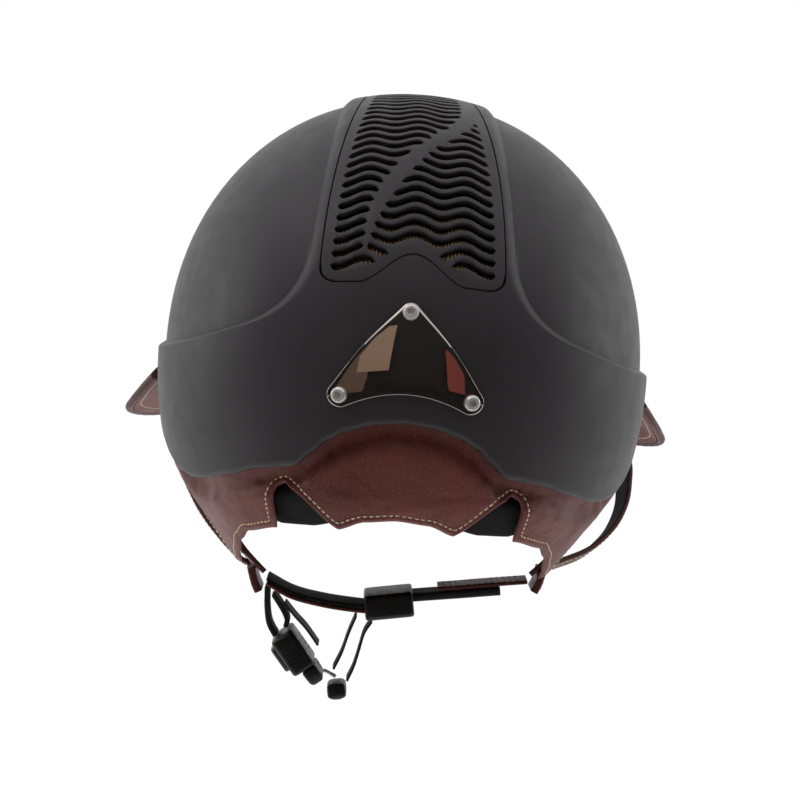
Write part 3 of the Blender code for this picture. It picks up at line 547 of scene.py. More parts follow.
def thread():
    m = Nodes("cream_thread", (0.66, 0.50, 0.33), 0.62, Specular_IOR_Level=0.4)
    twist_inputs = {"Vector": m.place, "Scale": 1 / (0.5 * MM) / math.tau}
    twist = m.node("TexWave", twist_inputs, bands_direction="DIAGONAL").outputs["Fac"]
    # random tone, with painted shade in the grooves of the twist, which follows the same bands as the bump
    tone = m.maths("MULTIPLY", twist, m.noise(4, 2))
    m.colours(tone, [(0.0, (0.72, 0.55, 0.36)), (0.5, (0.95, 0.80, 0.58))])
    m.bump(twist, 0.08, 0.6)
    return m.material


SHELL = soft_touch_black()
LEATHER = leather("brown_leather", (0.076, 0.0192, 0.0158), (0.215, 0.0645, 0.052))
STRAP_LEATHER = leather("strap_leather", (0.042, 0.0105, 0.009), (0.13, 0.039, 0.032), 0.8, (0.32, 0.5))
LINING = textile("black_lining", (0.003, 0.003, 0.0032), (0.009, 0.0088, 0.009))
PAD_CLOTH = textile("pad_knit", (0.005, 0.005, 0.0053), (0.014, 0.014, 0.0146), 0.9, 0.15)
WEBBING = webbing()
PLASTIC = plastic("black_nylon", (0.006, 0.006, 0.0065), (0.011, 0.011, 0.0116), 0.42)
BOARD = plastic("peak_board", (0.012, 0.012, 0.013), (0.02, 0.02, 0.021), 0.6)
GREY_PLASTIC = plastic("grey_button", (0.04, 0.04, 0.043), (0.06, 0.06, 0.064), 0.26, 0.008)
FOAM = bead_foam()
STEEL = metal("steel", (0.84, 0.82, 0.79), 0.34, 0.01, 0.55)
RIM_STEEL = metal("bevel_steel", (0.86, 0.85, 0.83), 0.1, 0.004)
BRONZE = wire_weave()
MIRROR = dark_mirror()
THREAD = thread()


# ---------- shell ----------


def crease_places(azimuth, rim, steps=260):
    """Where the surface leaves the spine and meets the band between the crown and the rim, as shares."""
    depths = []
    for step in range(steps + 1):
        inside, ramp, _ = raised_area(*shell_point(azimuth, mix(math.pi / 2, rim, step / steps)))
        depths.append(inside / ramp)
    lowest = depths.index(min(depths))

    def crossing(level, first):
        way = 1 if lowest >= first else -1
        for k in range(first, lowest, way):
            a, b = depths[k], depths[k + way]
            if (a - level) * (b - level) <= 0 and a != b:
                return (k + way * (a - level) / (a - b)) / steps
        return lowest / steps

    return [crossing(1.0, 0), crossing(0.0, 0), crossing(0.0, steps), crossing(1.0, steps)]


def spread(count, start=False, end=False):
    """Shares from 0 up to 1, closer together at its start, its end or both."""
    if start and end:
        return [(1 - math.cos(k / count * math.pi)) / 2 for k in range(count)]
    if end:
        return [math.sin(k / count * math.pi / 2) for k in range(count)]
    return [1 - math.cos(k / count * math.pi / 2) for k in range(count)]


def shell_body():
    """The moulded shell: its rows follow the creases, its edge is rounded, and it has the grille's window."""
    columns, step_apart = SHELL_COLUMNS, 0.006
    stretches = [spread(30, end=True), spread(8, True, True), spread(34, True, True), spread(8, True, True)]
    stretches.append(spread(30, start=True))
    loops = []
    for i in range(columns):
        azimuth = i / columns * math.tau
        rim = latitude_at(rim_height(azimuth) + SHELL_WALL / 2, 0.0)
        marks = crease_places(azimuth, rim)
        for k in (1, 2, 3):
            marks[k] = max(marks[k], marks[k - 1] + step_apart)
        marks = [0.004, *marks, 1.0]
        shares = [mix(a, b, s) for a, b, stretch in zip(marks, marks[1:], stretches) for s in stretch] + [1.0]
        loop = [shell_point(azimuth, mix(math.pi / 2, rim, share), 0.0, True) for share in shares]
        outer = loop[-1]
        inner = shell_point(azimuth, latitude_at(outer.z, SHELL_WALL), SHELL_WALL)
        middle, half = (outer + inner) / 2, (outer - inner) / 2
        down = Vector((0, 0, -half.length))
        loop += [middle + half * math.cos(t) + down * math.sin(t) for t in np.linspace(0.3, math.pi, 7)]
        inner_rim = latitude_at(outer.z, SHELL_WALL)
        for k in range(1, 17):
            loop.append(shell_point(azimuth, mix(inner_rim, math.pi / 2 - 0.01, k / 16), SHELL_WALL))
        loops.append(loop)
    rows = len(loops[0])
    faces = strip_faces(columns, rows, closed=True)
    faces += [tuple(i * rows for i in range(columns)), tuple(i * rows + rows - 1 for i in range(columns))]
    made = new_mesh("shell_body", [p for loop in loops for p in loop], faces)

    def hole(depth):
        def place(u, v):
            u -= math.sin(math.tau * u) / math.tau * 0.93  # more rows near its ends, where its corners are
            return grille_point(u, v, depth)

        return place

    window = slab("window", 170, 30, hole(-3.0), hole(8.0))
    cut_away(made, window)
    for spot in SCREW_PLACES.values():
        centre, outward = badge_axis(spot)
        cut_away(made, turned("bore", [(5.0, 2.0), (-12.0, 2.0)], centre, outward, 24))
    finish_piece(made, SHELL, "helmet", ["outer_shell"], 35)


# ---------- grille ----------


def grille_half_width(angle):
    behind, ahead = clamp(angle / GRILLE_REAR), clamp(angle / GRILLE_FRONT)
    return 22.5 + 13.5 * smooth(behind**0.8) + 2.5 * smooth(ahead)


def grille_ends(x_share, inset):
    """Angles of the grille's back and front edges, a share of the way across it."""
    across = abs(x_share) * (grille_half_width(GRILLE_REAR) - inset)
    arch = math.cos(clamp(across / GRILLE_ARCH_HALF) * math.pi / 2) ** 2
    rear = mix(GRILLE_REAR, GRILLE_ARCH, arch) - inset / CROWN_HEIGHT
    return rear, GRILLE_FRONT + 1.8 * inset / CROWN_HEIGHT + 0.05 * abs(x_share) ** 3


def grille_half(angle, x_share, inset):
    """Half the grille's width at an angle along it, less its rounded corners."""
    rear, front = grille_ends(x_share, inset)
    inward = clamp(min(abs(angle - rear), abs(angle - front)) / (GRILLE_CORNER / CROWN_HEIGHT))
    corner = GRILLE_CORNER * (1 - math.sqrt(max(0.0, 1 - (1 - inward) ** 2)))
    return grille_half_width(angle) - inset - corner


def spine_normal(angle, x):
    return base_normal(*spine_point(angle, x, False))


def grille_point(u, v, depth, inset=0.0):
    """Point on the grille: u from its back edge to its front edge, v across it."""
    x_share = 2 * v - 1
    rear, front = grille_ends(x_share, inset)
    angle = mix(rear, front, u)
    x = x_share * grille_half(angle, x_share, inset)
    return spine_point(angle, x) - spine_normal(angle, x) * depth


RIBBON = [  # the slanting band left solid: degrees along the spine, distance from the middle, half its width
    (-4, -16.0, 0.5), (4, -18.0, 1.2), (10.8, -18.7, 2.2), (17.3, -20.5, 2.8), (23.2, -20.9, 3.3),
    (29.3, -17.3, 3.7), (35.3, -8.7, 3.8), (40.5, -0.4, 3.8), (45.8, 5.9, 3.8), (50.5, 10.8, 3.7),
    (55.1, 14.8, 2.8), (59.3, 17.4, 1.7), (63.3, 18.4, 0.9), (64.5, 18.8, 0.9),
]
RIBBON_MIDDLE = [(place, x) for place, x, half in RIBBON]
RIBBON_HALF = [(place, half) for place, x, half in RIBBON]


def slot_room(angle, x, x_share):
    """How far a place is from the nearest solid part of the grille: its margins or its ribbon."""
    rear, front = grille_ends(x_share, 0.0)
    edges = grille_half(clamp(angle, front, rear), x_share, 0.0) - abs(x)
    ends = min(rear - angle, angle - front) * CROWN_HEIGHT
    room = min(edges, ends) - SLOT_MARGIN
    degrees = math.degrees(angle)
    if RIBBON[0][0] < degrees < RIBBON[-1][0]:
        ahead, behind = through(RIBBON_MIDDLE, degrees + 2), through(RIBBON_MIDDLE, degrees - 2)
        slant = (ahead - behind) / (math.radians(4) * CROWN_HEIGHT)
        beside = abs(x - through(RIBBON_MIDDLE, degrees)) - through(RIBBON_HALF, degrees)
        room = min(room, beside / math.hypot(1, slant))
    return room


def grille_bars():
    """The panel: strips between rows of wavy slots, built in layers from the top down."""
    turns = math.floor((GRILLE_REAR - GRILLE_FRONT) * CROWN_HEIGHT / SLOT_PITCH)
    step = (GRILLE_REAR - GRILLE_FRONT) / turns
    columns = 104
    corners, index, lines = [], {}, []  # a corner is (angle, share across, side of its slot, half its slot)

    def corner(key, value):
        if key not in index:
            index[key] = len(corners)
            corners.append(value)
        return index[key]

    for j in range(columns + 1):
        x_share = 2 * j / columns - 1
        rear, front = grille_ends(x_share, GROOVE)
        line = [corner((j, "rear"), (rear, x_share, "rear", 0.0))]
        for away in END_ROWS:
            line += [corner((j, "rear", away), (rear - away / CROWN_HEIGHT, x_share, 0, 0.0))] * 2
        last = END_ROWS[-1] / CROWN_HEIGHT
        for row in range(turns):
            middle = GRILLE_REAR - (row + 0.5) * step
            x = x_share * grille_half(clamp(middle, front, rear), x_share, GROOVE)
            angle = middle - WAVE_HEIGHT * math.cos(math.tau * x / WAVE_LENGTH) / CROWN_HEIGHT
            room = slot_room(angle, x, x_share)
            if angle >= rear - last:
                line += [corner((j, "rear", END_ROWS[-1]), None)] * 2
            elif angle <= front + last:
                line += [corner((j, "front", END_ROWS[-1]), (front + last, x_share, 0, 0.0))] * 2
            elif room <= 0:
                line += [corner((j, row), (angle, x_share, 0, 0.0))] * 2
            else:
                half = SLOT_HALF * math.sqrt(1 - (1 - clamp(room / (SLOT_HALF * 1.4))) ** 2)
                line += [corner((j, row, side), (angle, x_share, side, half)) for side in (1, -1)]
        for away in reversed(END_ROWS):
            line += [corner((j, "front", away), (front + away / CROWN_HEIGHT, x_share, 0, 0.0))] * 2
        line.append(corner((j, "front"), (front, x_share, "front", 0.0)))
        lines.append(line)

    top = []
    for left, right in zip(lines, lines[1:]):
        for k in range(0, len(left), 2):
            loop = [left[k], right[k], right[k + 1], left[k + 1]]
            loop = [n for i, n in enumerate(loop) if n != loop[i - 1]]
            if len(set(loop)) == len(loop) > 2:
                top.append(loop)
    uses = {}
    for loop in top:
        for a, b in zip(loop, loop[1:] + loop[:1]):
            uses.setdefault(frozenset((a, b)), []).append((a, b))
    border = [pairs[0] for pairs in uses.values() if len(pairs) == 1]

    points, faces = [], [tuple(loop) for loop in top]
    layers = [(0.0, SLOT_EDGE), (0.08, 0.2), (0.28, 0.05), (0.6, 0.0), (GRILLE_THICK, 0.0)]
    for depth, wider in layers:
        for angle, x_share, side, half in corners:
            rear, front = grille_ends(x_share, GROOVE + wider)
            angle = rear if side == "rear" else front if side == "front" else clamp(angle, front, rear)
            x = x_share * grille_half(angle, x_share, GROOVE + wider)
            if half:
                angle += side * (half + wider * min(1.0, half)) / CROWN_HEIGHT
            points.append(spine_point(angle, x) - spine_normal(angle, x) * depth)
    count = len(corners)
    for level in range(len(layers) - 1):
        over, under = level * count, (level + 1) * count
        faces += [(b + over, a + over, a + under, b + under) for a, b in border]
    faces += [tuple(n + (len(layers) - 1) * count for n in reversed(loop)) for loop in top]
    made = new_mesh("grille_bars", points, faces)
    finish_piece(made, SHELL, "helmet", ["grille_panel"], 32)


def wire_cloth():
    """The bronze wire cloth under the slots."""
    made = slab(
        "wire_cloth", 160, 40, lambda u, v: grille_point(u, v, GRILLE_THICK + 0.9, 3.0),
        lambda u, v: grille_point(u, v, GRILLE_THICK + 1.7, 3.0), size=(300, 60),
    )
    finish_piece(made, BRONZE, "helmet", ["grille_mesh"], 40)


# ---------- foam and pads ----------


def dome(depth, rim_lift):
    def place(u, v):
        azimuth = u * math.tau
        rim = latitude_at(rim_height(azimuth) + rim_lift, depth)
        return shell_point(azimuth, mix(math.pi / 2 - 0.004, rim, v), depth)

    return place


def bowl(name, columns, rows, outer, inner, edge_radius):
    """A closed bowl between two domes with rounded lower edges."""
    loops = []
    for i in range(columns):
        u = i / columns
        out = [outer(u, j / (rows - 1)) for j in range(rows)]
        back = [inner(u, j / (rows - 1)) for j in range(rows)][::-1]
        across = (back[0] - out[-1])
        radius = edge_radius / across.length
        down = [Vector((0, 0, -edge_radius * 0.6 * (1 - (1 - k) ** 2))) for k in (0.3, 1)]
        corners = [out[-1] + across * radius * k + drop for k, drop in zip((0.3, 1), down)]
        others = [back[0] - across * radius * k + drop for k, drop in zip((1, 0.3), down[::-1])]
        loops.append(out + corners + others + back)
    count = len(loops[0])
    faces = strip_faces(columns, count, closed=True)
    faces += [tuple(i * count for i in range(columns)), tuple(i * count + count - 1 for i in range(columns))]
    return new_mesh(name, [p for loop in loops for p in loop], faces)


def liner_foam():
    made = bowl("liner_foam", 128, 26, dome(FOAM_OUTER, FOAM_LIFT), dome(FOAM_INNER, FOAM_LIFT), 2.0)
    for angle in VENT_ANGLES:
        centre = spine_point(math.radians(angle), 0.0, False)
        vent = block("vent", [(-36, 20, 13), (8, 22, 15)], centre, (Vector((1, 0, 0)), centre), 0.5)
        cut_away(made, vent)
    finish_piece(made, FOAM, "helmet", ["impact_liner"], 40)


def quilting(azimuth, height, low, high):
    """How far a pad stands up between its sewn lines, from 0 on a line to 1 in the middle."""
    across = abs(math.sin(azimuth * 7)) ** 0.35
    up = clamp((height - low) / (high - low))
    return across * (math.sin(math.pi * up) ** 0.5 if 0 < up < 1 else 0.0)


def band_cushion():
    """The padded headband: a flap that covers the foam's edge, and a quilted band inside it."""
    columns = SHELL_COLUMNS
    behind, face = FOAM_INNER + 1.8, FOAM_INNER + 3.4  # depths of its back and of its sewn lines
    loops = []
    for i in range(columns):
        azimuth = i / columns * math.tau
        under = rim_height(azimuth) + FOAM_LIFT - 1.6
        bottom = under - 2.2

        def spot(height, depth):
            return shell_point(azimuth, latitude_at(height, depth), depth)

        loop = []
        for t in np.linspace(0, 1, 9):
            loop.append(spot(under + 0.2 - 0.9 * math.sin(math.pi * t), mix(FLANGE_DEPTH, behind, t)))
        loop += [spot(mix(under, HEADBAND_TOP, t), behind) for t in np.linspace(0.08, 1, 12)]
        for t in (0.25, 0.5, 0.75):
            loop.append(spot(HEADBAND_TOP + 0.7 * math.sin(math.pi * t), behind + 1.7 * t))
        for t in np.linspace(0, 1, 26):
            height = mix(HEADBAND_TOP, bottom + 1.5, t)
            puff = quilting(azimuth, height, bottom + 2, HEADBAND_TOP - 1)
            loop.append(spot(height, face + 2.9 * puff))
        for t in np.linspace(0.1, 1, 9):
            loop.append(spot(bottom - 0.4 * math.sin(math.pi * t), mix(face, FLANGE_DEPTH, t)))
        loops.append(loop)
    rows = len(loops[0])
    faces = strip_faces(columns, rows, closed=True)
    for i in range(columns):
        a, b = i * rows, (i + 1) % columns * rows
        faces.append((a, a + rows - 1, b + rows - 1, b))
    made = new_mesh("band_cushion", [p for loop in loops for p in loop], faces)
    finish_piece(made, PAD_CLOTH, "helmet", ["headband"], 60)


def crown_cushion():
    """The crown pad: a stuffed cap sewn into eight wedges."""

    def face(depth, puffed):
        def place(u, v):
            azimuth = u * math.tau
            latitude = mix(math.pi / 2 - 0.01, PAD_LATITUDE, v)
            sewn = clamp(abs(math.sin(azimuth * 4)) ** 0.4 * (0.25 + v))
            sewn *= math.sin(math.pi * clamp(v * 0.98 + 0.02)) ** 0.5
            return shell_point(azimuth, latitude, depth + puffed * sewn)

        return place

    made = bowl("crown_cushion", 192, 34, face(FOAM_INNER + 1.8, 0.0), face(FOAM_INNER + 3.0, 2.5), 0.9)
    finish_piece(made, PAD_CLOTH, "helmet", ["crown_pad"], 60)


# ---------- badge ----------


def badge_point(x, z, lift):
    """Point over the raised shell, for a place seen square from behind."""
    tall = CROWN_HEIGHT if z > 0 else LOWER_DEPTH
    left = 1 - (abs(x) / HALF_WIDTH) ** ROUNDNESS - (abs(z) / tall) ** ROUNDNESS
    y = HALF_LENGTH * left ** (1 / ROUNDNESS)
    return Vector((x, y, z)) + base_normal(x, y, z) * (rise(x, y, z) + lift)


def badge_axis(spot):
    foot = badge_point(*spot, 0.0)
    return foot, (badge_point(*spot, 1.0) - foot).normalized()


def badge_outline():
    """The plate's outline, from its tip down the wearer's left side and back up the right."""

    def arc(corner, start, end, steps):
        x, z, radius = corner
        turns = np.linspace(start, end, steps + 1)
        return [(x + radius * math.cos(t), z + radius * math.sin(t)) for t in turns]

    tip = arc(BADGE_TIP, math.pi / 2, BADGE_SIDE_TURN, 14)
    corner = arc(BADGE_CORNER, BADGE_SIDE_TURN, BADGE_CORNER_END, 32)
    side, lower = [], []
    for t in np.linspace(0, 1, 27)[1:-1]:
        bow = BADGE_BOW * math.sin(math.pi * t) ** 1.3
        x, z = (mix(a, b, t) for a, b in zip(tip[-1], corner[0]))
        side.append((x + bow * math.cos(BADGE_SIDE_TURN), z + bow * math.sin(BADGE_SIDE_TURN)))
        lower.append((corner[-1][0] * (1 - t), mix(BADGE_HOLLOW, corner[-1][1], (1 - t) ** 2)))
    half = [*tip, *side, *corner, *lower]
    return np.array([*half, (0.0, BADGE_HOLLOW), *[(-x, z) for x, z in half[:0:-1]]])


def badge_mirror():
    """The polished plate: a slightly domed face inside a bright bevelled edge."""
    outline = badge_outline()
    along = np.roll(outline, -1, 0) - np.roll(outline, 1, 0)
    outward = np.stack([-along[:, 1], along[:, 0]], axis=1) / np.linalg.norm(along, axis=1, keepdims=True)
    hub, top = np.array(BADGE_HUB), BADGE_LIFT + BADGE_THICK
    shapes = [(hub + (outline - hub) * share, BADGE_LIFT) for share in (0.02, 0.25, 0.5, 0.75, 1.0)]
    shapes += [(outline, 1.35), (outline - outward * 0.12, 1.72), (outline - outward * 0.4, 1.96)]
    face = outline - outward * BADGE_BEVEL
    edge_faces = len(shapes) * len(outline)
    shapes += [(hub + (face - hub) * share, top + 0.5 * (1 - share**2)) for share in np.linspace(1, 0.02, 30)]
    made = rings("badge_mirror", [[badge_point(x, z, lift) for x, z in shape] for shape, lift in shapes])
    for n, face in enumerate(made.data.polygons):
        face.material_index = 1 if n < edge_faces or n == len(made.data.polygons) - 2 else 0
    for name, spot in SCREW_PLACES.items():
        centre, outward = badge_axis(spot)
        cut_away(made, turned("bore", [(6.0, 2.1), (-3.0, 2.1)], centre, outward, 24))
    finish_piece(made, [MIRROR, RIM_STEEL], "helmet", ["badge_plate"], 50)
    for name, spot in SCREW_PLACES.items():
        badge_bolt(name, spot)


def badge_bolt(name, spot):
    """A button-head bolt with a hex socket."""
    centre, outward = badge_axis(spot)
    sides, foot = 48, BADGE_LIFT + BADGE_THICK + 0.35
    profile = [(foot, 1.6), (foot, SCREW_HEAD - 0.15), (foot + 0.12, SCREW_HEAD)]
    for t in np.linspace(0, math.pi / 2, 8):
        profile.append((foot + 0.25 + 1.75 * math.sin(t), 2.1 + (SCREW_HEAD - 2.1) * math.cos(t)))
    profile += [(foot + 2.0, 1.95)]

    def hexagon(turn):
        return 1.45 / math.cos((turn + math.pi / 6) % (math.pi / 3) - math.pi / 6)

    def socket_wall(turn):
        return hexagon(turn) * 0.94

    socket = [(foot + 1.95, hexagon), (foot + 1.75, socket_wall), (foot + 0.6, socket_wall)]
    socket.append((foot + 0.45, lambda t: 0.25))
    shank = [(-SHELL_WALL, 1.6)]
    made = turned("badge_bolt_" + name, shank + profile + socket, centre, outward, sides)
    finish_piece(made, STEEL, "helmet", ["badge_screw_" + name], 30)


def turned(name, profile, centre, axis, sides=32):
    """A turned piece: the profile is (height on the axis, radius), where a radius may depend on the turn."""
    axis = Vector(axis).normalized()
    across = Vector((1, 0, 0)) if abs(axis.x) < 0.9 else Vector((0, 1, 0))
    across = (across - axis * across.dot(axis)).normalized()
    up = axis.cross(across)
    loops = []
    for height, radius in profile:
        loop = []
        for k in range(sides):
            turn = math.tau * k / sides
            reach = radius(turn) if callable(radius) else radius
            out = across * math.cos(turn) + up * math.sin(turn)
            loop.append(Vector(centre) + axis * height + out * reach)
        loops.append(loop)
    return rings(name, loops)


def block(name, sections, centre, axes, radius, corner_steps=5):
    """A solid along an axis with rounded edges: sections are (place on it, width, thickness)."""
    wide, along = (Vector(a).normalized() for a in axes)
    wide = (wide - along * wide.dot(along)).normalized()
    thick = wide.cross(along)
    loops = []
    for place, width, depth in sections:
        soft = min(radius, width / 2, depth / 2)
        loop = []
        for k, (sx, sy) in enumerate(((1, 1), (-1, 1), (-1, -1), (1, -1))):
            for step in range(corner_steps + 1):
                turn = math.pi / 2 * (k + step / corner_steps)
                a = sx * (width / 2 - soft) + soft * math.cos(turn)
                b = sy * (depth / 2 - soft) + soft * math.sin(turn)
                loop.append(Vector(centre) + along * place + wide * a + thick * b)
        loops.append(loop)
    return rings(name, loops)


def rounded_block(name, length, width, depth, centre, axes, radius, end=1.2, waist=None):
    """A moulded block with its ends rounded off as well; waist gives a scale of its width along it."""
    sections = []
    half = length / 2
    places = [-half + end * (1 - math.cos(t)) for t in np.linspace(0, math.pi / 2, 6)]
    places += list(np.linspace(-half + end, half - end, 14))[1:-1]
    places += [half - end * (1 - math.cos(t)) for t in np.linspace(math.pi / 2, 0, 6)]
    for place in places:
        near = max(0.0, abs(place) - (half - end)) / end
        less = end * (1 - math.sqrt(max(0.0, 1 - near * near)))
        scale = waist(place / half) if waist else 1.0
        sections.append((place, width * scale - 2 * less, depth - 2 * less * min(1.0, depth / width + 0.3)))
    return block(name, sections, centre, axes, radius)


# ---------- leather below the shell ----------


def skirt_point(azimuth, height, depth):
    """Point on the leather that hangs below the shell and curves in under the head."""
    below = rim_height(azimuth) - SWELL_BELOW - height
    swell_out = SKIRT_SWELL * smooth(below / 10.0)
    drop = max(0.0, SKIRT_TURN - height)
    narrow = 1 - drop * drop / (drop + SKIRT_SOFT) / SKIRT_REACH
    section = shell_point(azimuth, latitude_at(max(height, SKIRT_TURN), depth - swell_out), depth - swell_out)
    return Vector((section.x * narrow, section.y * narrow, height))


def edge_slope(edge, azimuth, depth):
    """How steeply a lower edge runs across the leather, as height for each millimetre round it."""
    a, b = azimuth - 0.006, azimuth + 0.006
    one, two = skirt_point(a, edge(a), depth), skirt_point(b, edge(b), depth)
    return abs(two.z - one.z) / max(0.1, math.hypot(two.x - one.x, two.y - one.y))


def skirt_band(name, start, end, edge, depths, look, replaced, wrinkle=0.0, turned_edge=0.0):
    """A band of leather or lining from behind the shell's edge down to its own rounded edge."""
    outer_depth, inner_depth = depths
    radius = (inner_depth - outer_depth) / 2
    count = round((end - start) / 0.4)
    loops = []
    for i in range(count + 1):
        azimuth = math.radians(mix(start, end, i / count))
        rim, low = rim_height(azimuth), edge(azimuth)
        slant = math.hypot(1, min(3.0, edge_slope(edge, azimuth, outer_depth)))

        def outside(height):
            away = (height - low) / slant
            fold = math.exp(-((away - 1.0) ** 2))
            hem = turned_edge * (fold - 0.9 * math.exp(-(((away - STITCH_INSET) / 0.6) ** 2)))
            spot = skirt_point(azimuth, height, outer_depth)
            folds = wrinkle * noise.noise(Vector((spot.x / 16, spot.y / 16, spot.z / 9)))
            folds += wrinkle * 0.6 * noise.noise(Vector((spot.x / 5, spot.y / 5, spot.z / 3.5)))
            fade = clamp((rim - height) / 4) * clamp(away / 3)
            return skirt_point(azimuth, height, outer_depth - hem - folds * fade)

        first = rim - 1.5
        tucked = [mix(rim + SKIRT_TUCK, first, t) for t in np.linspace(0, 1, 5)[:-1]]
        loop = [skirt_point(azimuth, height, outer_depth) for height in tucked]
        loop += [outside(mix(first, low + radius, t)) for t in (1 - (1 - k / 30) ** 1.4 for k in range(31))]
        loop += [
            skirt_point(azimuth, low + radius * (1 - math.sin(t)), outer_depth + radius * (1 - math.cos(t)))
            for t in np.linspace(0.35, math.pi, 7)
        ]
        for t in np.linspace(0.08, 1, 14):
            loop.append(skirt_point(azimuth, mix(low + radius, rim + SKIRT_TUCK, t), inner_depth))
        loops.append(loop)
    finish_piece(rings(name, loops), look, "helmet", [replaced], 50)


def edge_trail(start, end, edge, depth, inset):
    """Places at a distance inside a lower edge, as (azimuth, height), measured on the leather laid flat."""
    azimuths = np.radians(np.linspace(start, end, 900))
    flat, round_it = [], 0.0
    for k, azimuth in enumerate(azimuths):
        if k:
            a, b = (skirt_point(t, -50.0, depth) for t in (azimuths[k - 1], azimuth))
            round_it += (b - a).length
        flat.append((round_it, edge(azimuth)))
    flat = np.array(flat)
    along = np.gradient(flat, axis=0)
    along /= np.linalg.norm(along, axis=1, keepdims=True)
    moved = flat + inset * np.stack([-along[:, 1], along[:, 0]], axis=1)
    gaps = np.linalg.norm(moved[:, None, :] - flat[None, :, :], axis=2).min(axis=1)
    kept = moved[gaps > inset * 0.97]
    return [(float(np.interp(s, flat[:, 0], azimuths)), float(z)) for s, z in kept]


def skirt_seam(name, start, end, edge, depth, inset, body):
    """A row of stitches along a lower edge."""
    trail = edge_trail(start, end, edge, depth, inset)
    spots = []
    for azimuth, height in trail:
        spot = skirt_point(azimuth, height, depth - 0.12)
        outward = spot - skirt_point(azimuth, height, depth + 1.0)
        spots.append((spot, outward.normalized()))
    return seam(name, spots, body)


def seam(name, spots, body, pitch=STITCH_PITCH, look=None):
    """Stitches lying along (place, outward) spots, each a short thread that dips in at both ends."""
    places = np.array([tuple(p) for p, out in spots])
    gaps = np.linalg.norm(np.diff(places, axis=0), axis=1)
    travelled = np.concatenate([[0.0], np.cumsum(gaps)])
    count = max(1, int(travelled[-1] / pitch))
    points, faces = [], []
    sides = 6
    for k in range(count):
        ends = []
        for at in ((k + 0.5) * pitch - STITCH_LENGTH / 2, (k + 0.5) * pitch + STITCH_LENGTH / 2):
            ends.append(Vector([float(np.interp(at, travelled, places[:, axis])) for axis in range(3)]))
        nearest = int(np.searchsorted(travelled, (k + 0.5) * pitch))
        out = spots[min(nearest, len(spots) - 1)][1]
        along = (ends[1] - ends[0])
        if along.length < STITCH_LENGTH * 0.6 or along.length > STITCH_LENGTH * 1.5:
            continue
        along.normalize()
        out = (out - along * out.dot(along)).normalized()
        across = along.cross(out)
        start = len(points)
        for t in np.linspace(-1, 1, 7):
            radius = STITCH_RADIUS * math.sqrt(max(0.05, 1 - abs(t) ** 3))
            centre = (ends[0] + ends[1]) / 2 + along * t * STITCH_LENGTH / 2 - out * 0.34 * t * t
            for s in range(sides):
                turn = math.tau * s / sides
                points.append(centre + (across * math.cos(turn) + out * math.sin(turn) * 0.85) * radius)
        for r in range(6):
            a, b = start + r * sides, start + (r + 1) * sides
            faces += [(a + s, a + (s + 1) % sides, b + (s + 1) % sides, b + s) for s in range(sides)]
        last = start + 6 * sides
        faces += [tuple(range(start, start + sides))[::-1], tuple(range(last, last + sides))]
    made = new_mesh(name, points, faces)
    return finish_piece(made, look or THREAD, body, (), 60)


def nape_edge(azimuth):
    return through(NAPE_EDGE, around(azimuth))


def lining_edge(azimuth):
    return through(LINING_EDGE, around(azimuth))


def brow_edge(azimuth):
    return rim_height(azimuth) - 3.5


def skirt():
    inner = SKIRT_DEPTH + SKIRT_THICK
    leather_depths, lining_depths = (SKIRT_DEPTH, inner), (inner + LINING_GAP, inner + LINING_GAP + 2.0)
    skirt_band(
        "nape_skin", -98, 98, nape_edge, leather_depths, LEATHER, "nape_leather", 0.45, 0.35
    )
    skirt_seam("nape_seam", -96, 96, nape_edge, SKIRT_DEPTH, STITCH_INSET, "helmet")
    skirt_band("nape_cloth", -38, 38, lining_edge, lining_depths, LINING, "nape_lining", 0.4)
    skirt_band("brow_skin", 122, 238, brow_edge, leather_depths, LEATHER, "brow_leather")


# ---------- peak ----------


def peak_surface(u, v):
    """The peak's middle surface: u round the front from left to right, v from the shell outwards."""
    turn = mix(PEAK_SIDE, math.tau - PEAK_SIDE, u)
    side = abs(2 * u - 1)
    inner = shell_point(turn, latitude_at(-6.5 - 4.0 * side**3, 0.0), 0.0, True)
    inner += Vector((inner.x, inner.y, 0)).normalized() * (1.4 + 2.4 * side**2)
    outer = curve_at(PEAK_EDGE, side)
    if u > 0.5:
        outer.x = -outer.x
    return inner.lerp(outer, v) + Vector((0, 0, PEAK_BULGE * 4 * v * (1 - v) * (1 - side**4)))


def peak_normal(u, v):
    low, high, near, far = max(u - 0.02, 0.0), min(u + 0.02, 1.0), max(v - 0.05, 0.0), min(v + 0.05, 1.0)
    along, out = peak_surface(high, v) - peak_surface(low, v), peak_surface(u, far) - peak_surface(u, near)
    return along.cross(out).normalized()


